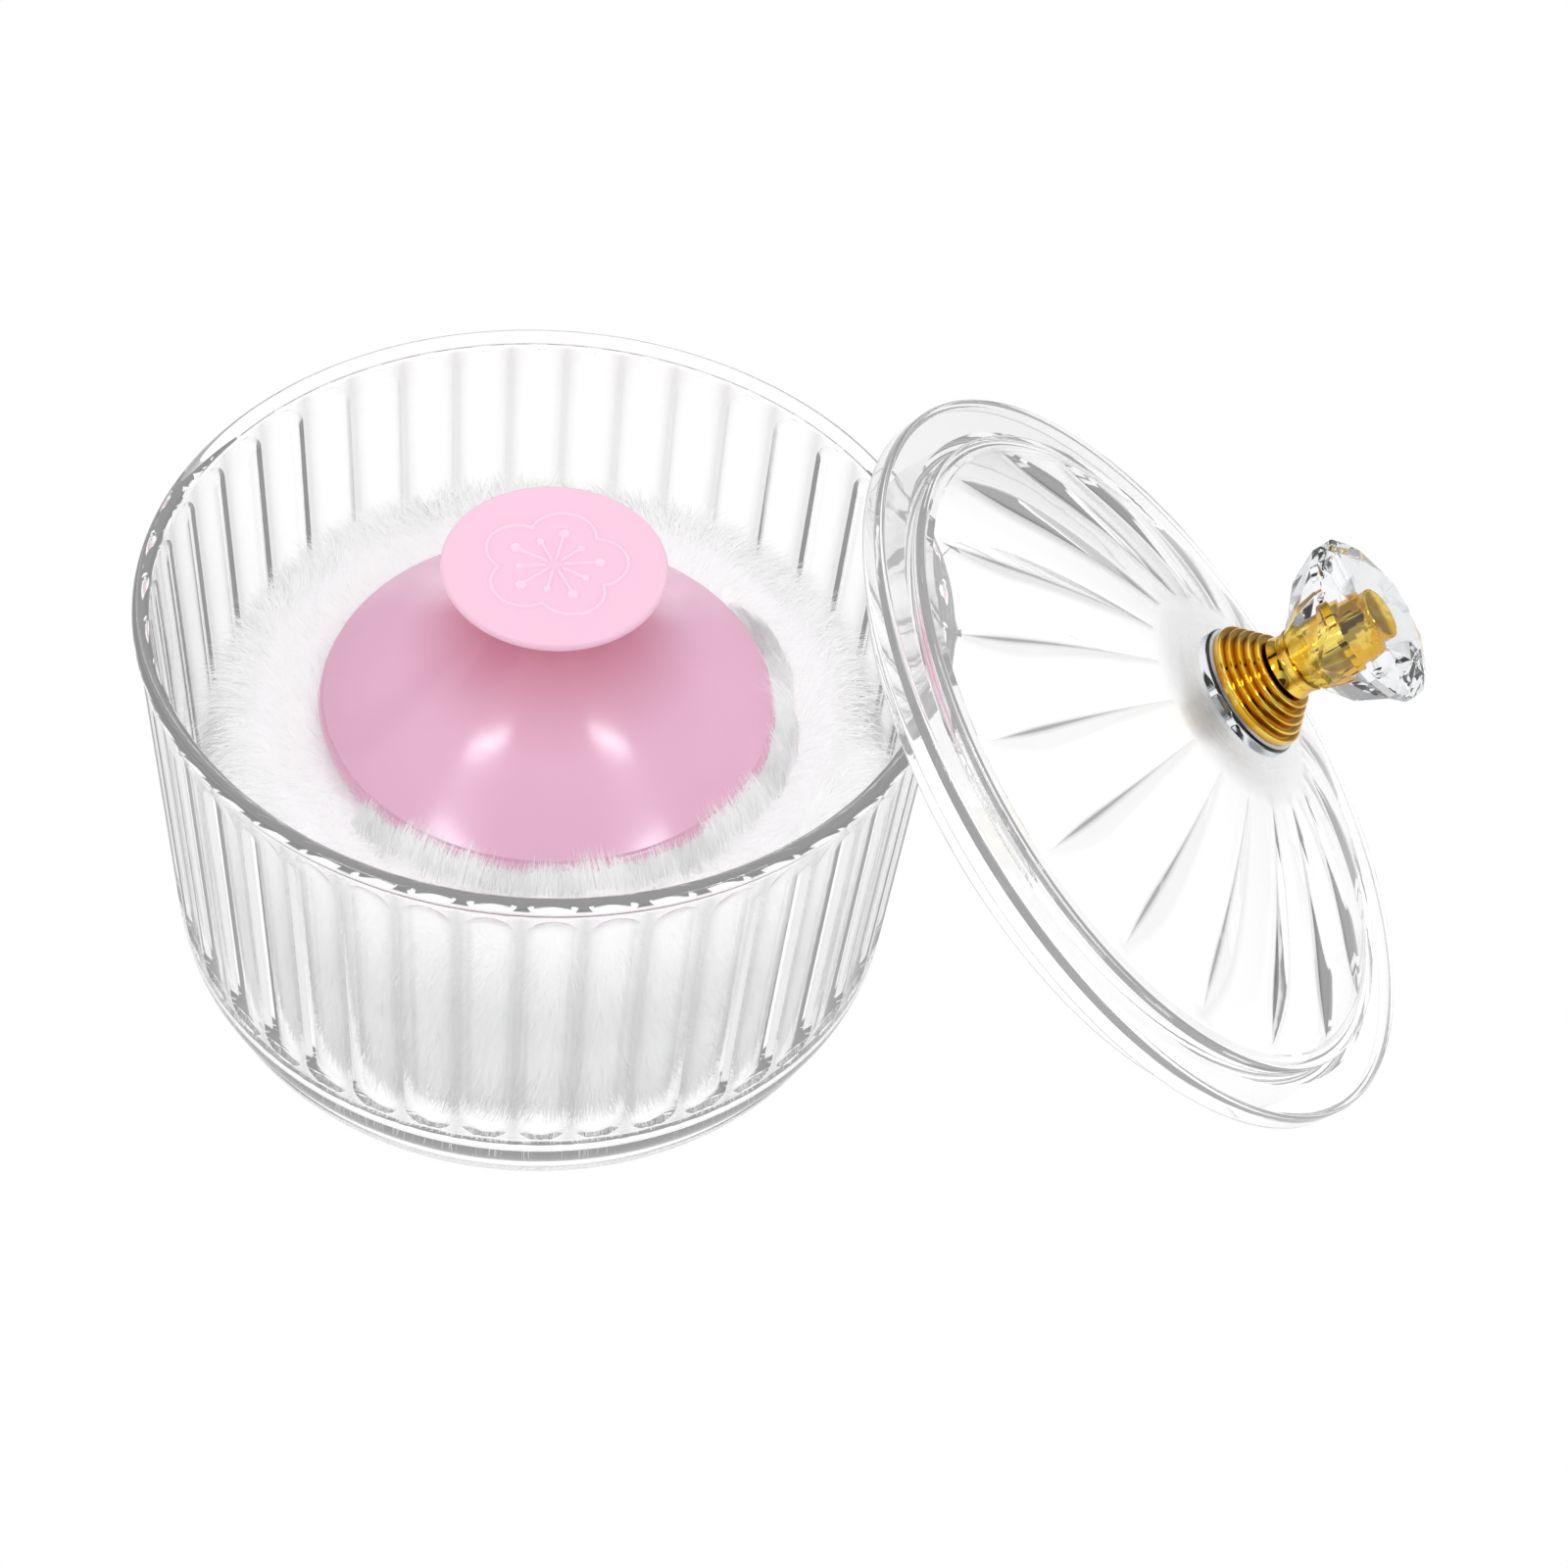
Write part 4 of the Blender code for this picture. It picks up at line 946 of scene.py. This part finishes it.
class Finish:
    """The nodes of a material or a world, and short ways to add to them."""

    def __init__(self, name, owner=None, **sockets):
        self.owner = owner or bpy.data.materials.new(name)
        self.owner.use_nodes = True
        self.nodes = self.owner.node_tree.nodes
        self.links = self.owner.node_tree.links
        self.shader = self.nodes.get("Principled BSDF") or self.nodes["Background"]
        for socket, value in sockets.items():
            self.put(self.shader, socket.replace("_", " "), value)

    def put(self, node, socket, value):
        if isinstance(value, Value):
            self.links.new(value.socket, node.inputs[socket])
        else:
            node.inputs[socket].default_value = value

    def add(self, kind, settings, sockets, output=0):
        """A new shader node of a kind, as the value of one of its outputs."""
        node = self.nodes.new("ShaderNode" + kind)
        for name, value in settings.items():
            setattr(node, name, value)
        for socket, value in sockets.items():
            self.put(node, socket, value)
        return Value(self, node.outputs[output])

    def give(self, socket, value):
        self.put(self.shader, socket, value)

    def place(self):
        return self.add("TexCoord", {}, {}, "Object")

    def stored(self, name):
        return self.add("Attribute", {"attribute_name": name}, {}, "Fac")

    def from_axis(self, axis_x):
        """How far a point of the surface is from the upright axis at an x."""
        shifted = self.add("VectorMath", {"operation": "SUBTRACT"}, {0: self.place(), 1: (axis_x, 0, 0)})
        flat = self.add("VectorMath", {"operation": "MULTIPLY"}, {0: shifted, 1: (1.0, 1.0, 0.0)})
        return self.add("VectorMath", {"operation": "LENGTH"}, {0: flat}, "Value")

    def noise(self, scale, detail=2.0):
        sockets = {"Vector": self.place(), "Scale": scale, "Detail": detail}
        return self.add("TexNoise", {}, sockets)

    def mix(self, factor, first, second):
        return self.add("Mix", {"data_type": "RGBA"}, {0: factor, 6: first, 7: second}, 2)

    def cloudy(self, scale, detail, first, second):
        """A colour that wanders between two."""
        return self.mix(self.noise(scale, detail), rgb(*first), rgb(*second))

    def fade(self, value, start, end):
        settings = {"interpolation_type": "SMOOTHSTEP"}
        return self.add("MapRange", settings, {0: value, 1: start, 2: end})

    def bump(self, height, strength, distance):
        sockets = {"Height": height, "Strength": strength, "Distance": distance}
        return self.add("Bump", {}, sockets)

    def cover(self, factor, shader):
        """Mixes another shader over what the output shows now."""
        output = self.nodes.get("Material Output")
        mixed = self.add("MixShader", {}, {0: factor, 2: shader})
        self.links.new(self.shader.outputs[0], mixed.socket.node.inputs[1])
        self.links.new(mixed.socket, output.inputs["Surface"])


def rgb(red, green, blue):
    return (red, green, blue, 1.0)


def wear(finish, *pieces):
    """Gives pieces a finish in place of what they had."""
    for piece in pieces:
        piece.data.materials.clear()
        piece.data.materials.append(finish.owner)


# %% [markdown]
# ## Clear plastic
#
# The pot, the lid and the crystal are clear acrylic. A Principled shader with full transmission
# bends what is behind it. Grey shade is painted into its colour at grazing angles, and where the
# grey_shade stored on the mesh is high: on the pot's lands, a little for their thickness and mostly
# for the grey lines they bend into view, and dark along the lid's leaves. The stored haze roughens
# the lid round its hub. Light that is caught inside makes the edges glow faintly, which a very
# small emission stands for. Light should reach the plush through the wall, so for shadow rays a
# Transparent shader takes over, which leaves only a faint shadow.

# %% Clear plastic finishes
WHITE = rgb(1.0, 1.0, 1.0)
ACRYLIC_INDEX = 1.49
EDGE_GLOW = 0.04
LID_EDGE_GLOW = 0.055
HUB_HAZE = 0.27
EDGE_SHADE_POWER = 3.0


def clear_finish(name, tint, edge_shade, shade_grey=None, haze=False, edge_glow=EDGE_GLOW):
    """Clear moulded plastic with a faint waviness, painted grey shade at grazing angles and where
    grey_shade is stored, milky where it is hazy.
    """
    glow = {"Emission_Color": WHITE, "Emission_Strength": edge_glow}
    finish = Finish(name, IOR=ACRYLIC_INDEX, Transmission_Weight=1.0, **glow)
    facing = finish.add("LayerWeight", {}, {"Blend": 0.5}, "Facing")
    roughness = finish.noise(90.0, 3.0) * 0.03 + 0.01
    # Painted shade where the stored grey_shade is high.
    if shade_grey:
        tint = finish.mix(finish.stored("grey_shade"), tint, shade_grey)
    if haze:
        roughness = roughness + HUB_HAZE * finish.stored("haze")
    # Painted shade: grey at grazing angles.
    finish.give("Base Color", finish.mix(facing ** EDGE_SHADE_POWER, tint, edge_shade))
    finish.give("Roughness", roughness)
    finish.give("Normal", finish.bump(finish.noise(160.0), 0.1, 0.0002))
    through = finish.add("BsdfTransparent", {}, {"Color": FAINT_SHADE})
    finish.cover(finish.add("LightPath", {}, {}, "Is Shadow Ray"), through)
    return finish


CLEAR = rgb(0.985, 0.985, 0.985)
# Painted shade: greys for grazing angles, the pot's lands and the lid's leaves.
GREY_EDGE_SHADE = rgb(0.26, 0.26, 0.26)
FAINT_SHADE = rgb(0.96, 0.96, 0.96)
LAND_SHADE_GREY = rgb(0.60, 0.60, 0.60)
LEAF_SHADE_GREY = rgb(0.12, 0.12, 0.12)
COOL_CLEAR, COOL_EDGE_SHADE = rgb(0.90, 0.935, 0.97), rgb(0.10, 0.16, 0.24)
ICE_CLEAR, ICE_EDGE_SHADE = rgb(0.965, 0.98, 1.0), rgb(0.5, 0.54, 0.58)
wear(clear_finish("pot_acrylic", CLEAR, GREY_EDGE_SHADE, LAND_SHADE_GREY), pot)
wear(clear_finish("lid_acrylic", CLEAR, GREY_EDGE_SHADE, LEAF_SHADE_GREY, haze=True, edge_glow=LID_EDGE_GLOW), lid)
wear(clear_finish("collar_acrylic", COOL_CLEAR, COOL_EDGE_SHADE, edge_glow=0.0), collar)
wear(clear_finish("crystal_acrylic", ICE_CLEAR, ICE_EDGE_SHADE, edge_glow=0.004), crystal)

# %% [markdown]
# ## Gold
#
# The knob's metal is a bright yellow gold plate. A dark amber reflection is painted into its colour
# where it turns away, and the stored reflection_shade paints shade in the corners at the foot of
# each ring, which mirror only more gold, shade at the stem's foot, and brown reflections in bands up
# the insert. It has very little roughness, so most of its look comes from what stands round the
# set. A fine noise makes the plate a little uneven, as it is on the cast end of the insert, and
# paints blotches of deeper orange into its colour as reflections.

# %% Gold finish
REFLECTION_BLOTCH_FADE = (0.44, 0.56)
EDGE_REFLECTION_POWER = 1.5
gold = Finish("knob_gold", Metallic=1.0)
unevenness_and_reflection = gold.noise(260.0, 3.0)
turned_away = gold.add("LayerWeight", {}, {"Blend": 0.5}, "Facing")
# Painted reflections: blotches of deeper orange.
plate_colour = gold.mix(gold.fade(unevenness_and_reflection, *REFLECTION_BLOTCH_FADE), rgb(0.97, 0.72, 0.13), rgb(0.80, 0.46, 0.03))
# Painted reflection: dark amber where the plate turns away.
plate_colour = gold.mix(turned_away ** EDGE_REFLECTION_POWER, plate_colour, rgb(0.62, 0.27, 0.01))
# Painted shade and reflections where reflection_shade is high.
gold.give("Base Color", gold.mix(gold.stored("reflection_shade"), plate_colour, rgb(0.42, 0.18, 0.008)))
gold.give("Roughness", unevenness_and_reflection * 0.07 + 0.03)
gold.give("Normal", gold.bump(gold.noise(600.0, 3.0), 0.08, 0.0001))
wear(gold, rosette, stem)

# %% [markdown]
# ## Pink plastic
#
# The bell is a deeper, cooler pink than the cap, and a darker rose is painted near its neck as the
# shade under the cap. The cap's raised lines are painted a little paler than its face, as their highlight.

# %% Pink finishes
NECK_SHADE_REACH = (0.007, 0.020)
LINE_HIGHLIGHT_SHARE = 0.6


def moulded(finish, colour, roughness):
    """Moulded plastic: its colour with faint clouds, a satin gloss and a fine unevenness."""
    finish.give("Base Color", colour)
    finish.give("Roughness", finish.noise(300.0, 4.0) * 0.06 + roughness)
    finish.give("Normal", finish.bump(finish.noise(700.0), 0.05, 0.0001))


bell_finish = Finish("bell_pink")
lilac = bell_finish.cloudy(55.0, 3.0, (0.90, 0.525, 0.70), (0.86, 0.475, 0.65))
# Painted shade: a darker rose near the neck, under the cap.
outward = bell_finish.fade(bell_finish.from_axis(PUFF_PLACE.translation.x), *NECK_SHADE_REACH)
moulded(bell_finish, bell_finish.mix(outward, rgb(0.68, 0.25, 0.355), lilac), 0.15)
wear(bell_finish, bell)

cap_finish = Finish("cap_pink")
face = cap_finish.cloudy(55.0, 3.0, (0.97, 0.61, 0.775), (0.95, 0.58, 0.745))
# Painted highlight: the raised lines paler than the face.
line_highlight = cap_finish.stored("raised") * LINE_HIGHLIGHT_SHARE
moulded(cap_finish, cap_finish.mix(line_highlight, face, rgb(0.98, 0.76, 0.88)), 0.3)
wear(cap_finish, cap)

# %% [markdown]
# ## Plush, foam, plate and steel
#
# The pile is the whitest thing in the set, with a soft sheen along its tufts. Light wanders about
# between real fibres and fills their shade, which a small emission stands for. The foam, the plate
# and the steel are hidden in use, and each still has the finish of the real material.

# %% Pile finish
PILE_GLOW = 0.12
pile = Finish("plush_pile", Roughness=0.95, Sheen_Weight=0.5, Sheen_Roughness=0.5)
pile.give("Emission Color", WHITE)
pile.give("Emission Strength", PILE_GLOW)
pile.give("Base Color", pile.cloudy(400.0, 3.0, (0.98, 0.98, 0.985), (0.93, 0.935, 0.95)))
wear(pile, plush, top_pile, side_pile, fringe)

# %% Finishes of the pieces inside
foam = Finish("foam_cream", Roughness=0.95)
foam.give("Base Color", foam.cloudy(900.0, 4.0, (0.90, 0.87, 0.78), (0.80, 0.76, 0.66)))
wear(foam, nodes["puff_foam"])

plate = Finish("plate_white", Roughness=0.45)
plate.give("Base Color", plate.cloudy(120.0, 2.0, (0.88, 0.88, 0.86), (0.82, 0.82, 0.80)))
wear(plate, nodes["puff_plate"])

steel = Finish("zinc_steel", Metallic=1.0)
steel.give("Base Color", steel.cloudy(800.0, 3.0, (0.66, 0.66, 0.64), (0.5, 0.5, 0.49)))
steel.give("Roughness", steel.noise(500.0) * 0.15 + 0.22)
wear(steel, nodes["handle_screw"], nodes["knob_screw"], nodes["knob_washer"])

# %% [markdown]
# ## The studio
#
# Clear plastic on white is lit as glass is: the white is only as large as the picture needs, and
# what lies beyond it is grey, so that every edge of the plastic bends some grey into view and
# draws itself. The floor glows white for the camera, and near the object for metal and plastic
# too. A small part of it stays matt paper, which keeps a trace of shadow. The world is white
# overhead and grey towards the horizon for metal and plastic, and plain white for the camera.

# %% Floor and world
FLOOR_SIZE = 6.0
FLOOR_GAP = 0.00005
FLOOR_GLOW_SHARE = 0.985
WHITE_REACH = (0.16, 0.40)
GREY_LEVEL = 0.32
WORLD_STRENGTH = 1.05
SKY_RISE = (0.15, 0.60)
POT_AXIS = POT_PLACE.translation.copy()


def light_paths(finish):
    """1 for camera rays, and 1 for rays from metal or through plastic, as two values."""
    camera_ray = finish.add("LightPath", {}, {}, "Is Camera Ray")
    outputs = camera_ray.socket.node.outputs
    glossy = Value(finish, outputs["Is Glossy Ray"])
    through = Value(finish, outputs["Is Transmission Ray"])
    return camera_ray, glossy.work("MAXIMUM", glossy, through)


bpy.ops.mesh.primitive_plane_add(size=FLOOR_SIZE, location=(0, 0, -FLOOR_GAP))
floor = start_piece("studio_floor")
paper = Finish("floor_paper", Roughness=0.9, Base_Color=rgb(0.99, 0.99, 0.99))
paper_camera, paper_plastic = light_paths(paper)
near = 1.0 - paper.fade(paper.from_axis(0.0), *WHITE_REACH)
brightness = paper_camera + (GREY_LEVEL + (1.0 - GREY_LEVEL) * near) * paper_plastic
glow = paper.add("Emission", {}, {"Color": WHITE, "Strength": brightness})
paper.cover((paper_camera + paper_plastic) * FLOOR_GLOW_SHARE, glow)
wear(paper, floor)

scene.world = bpy.data.worlds.new("studio_world")
sky = Finish("studio_world", scene.world, Color=WHITE)
sky_camera, sky_plastic = light_paths(sky)
direction = sky.add("TexCoord", {}, {}, "Generated")
height = sky.add("SeparateXYZ", {}, {0: direction}, "Z")
overhead = GREY_LEVEL + (1.0 - GREY_LEVEL) * sky.fade(height, *SKY_RISE)
seen = sky_camera + sky_plastic
sky.give("Strength", sky_camera + overhead * sky_plastic + (1.0 - seen) * WORLD_STRENGTH)

# %% [markdown]
# ## Lamps and cards
#
# Two soft boxes stand where the bell mirrors them into its two highlights, and light nothing else,
# because the world's light alone is as soft as in the photograph. A few narrow dark cards give the
# gold its dark bands and the plastic its darkest lines. The camera doesn't see the cards, and they
# neither darken nor shade the soft pieces.

# %% Lamps and cards
SOFT_BOX_SIZE = (0.30, 0.055)
SOFT_BOX_POWER = 0.85


def soft_box(name, place):
    """An oval lamp that faces the pot."""
    light = bpy.data.lights.new(name, "AREA")
    light.shape = "ELLIPSE"
    light.size, light.size_y = SOFT_BOX_SIZE
    light.energy = SOFT_BOX_POWER
    lamp = add_object(name, light)
    lamp.visible_diffuse = False
    lamp.location = place
    lamp.rotation_euler = (POT_AXIS - Vector(place)).to_track_quat("-Z", "Y").to_euler()


soft_box("soft_box_left", (-0.424, -0.371, 0.654))
soft_box("soft_box_right", (0.418, -0.347, 0.628))

CARD_DISTANCE = 0.9
card_black = Finish("card_black", Roughness=1.0, Specular_IOR_Level=0.0)
card_black.give("Base Color", card_black.cloudy(3.0, 2.0, (0.03, 0.03, 0.03), (0.05, 0.05, 0.05)))


def dark_card(name, azimuth, width, low, high):
    """An upright card, from a low to a high edge, that only metal and clear plastic see."""
    a = math.radians(azimuth)
    place = (CARD_DISTANCE * math.sin(a), -CARD_DISTANCE * math.cos(a), (low + high) / 2)
    bpy.ops.mesh.primitive_plane_add(size=1.0, location=place, rotation=(math.pi / 2, 0.0, a))
    card = start_piece(name)
    card.scale = (width, high - low, 1.0)
    card.visible_camera = False
    card.visible_diffuse = False
    card.visible_shadow = False
    wear(card_black, card)


CARDS = [(-62, 0.72, 0.06, 0.56), (-2, 0.30, 0.10, 0.50), (-108, 0.22, 0.30, 1.60)]
for index, card in enumerate(CARDS):
    dark_card(f"dark_card_{index}", *card)

# %% [markdown]
# ## The camera
#
# The camera looks down at the pot from the front, at the photograph's angle, with a slight roll.
# Its place is worked out from where the pot's axis meets the table.

# %% Camera
LENS = 90.0
SENSOR = 36.0
VIEW_AZIMUTH = math.radians(-4.79)
VIEW_ELEVATION = math.radians(47.24)
VIEW_ROLL = math.radians(6.52)
VIEW_DISTANCE = 0.5207
VIEW_OFFSET = (-0.03344, -0.01667)

back = Vector((0.0, -math.cos(VIEW_ELEVATION), math.sin(VIEW_ELEVATION)))
level = Vector((1.0, 0.0, 0.0))
up = back.cross(level)
right = math.cos(VIEW_ROLL) * level + math.sin(VIEW_ROLL) * up
top = -math.sin(VIEW_ROLL) * level + math.cos(VIEW_ROLL) * up
swing = Matrix.Rotation(VIEW_AZIMUTH, 3, "Z")
spot = swing @ (back * VIEW_DISTANCE - right * VIEW_OFFSET[0] - top * VIEW_OFFSET[1])
camera_data = bpy.data.cameras.new("studio_camera")
camera_data.lens = LENS
camera_data.sensor_width = SENSOR
camera_data.clip_start = 0.01
camera = add_object("studio_camera", camera_data)
axes = Matrix([swing @ right, swing @ top, swing @ back]).transposed()
camera.matrix_world = Matrix.Translation(POT_AXIS + spot) @ axes.to_4x4()
scene.camera = camera
scene.view_settings.view_transform = "Standard"

# %% Update the scene
bpy.context.view_layer.update()
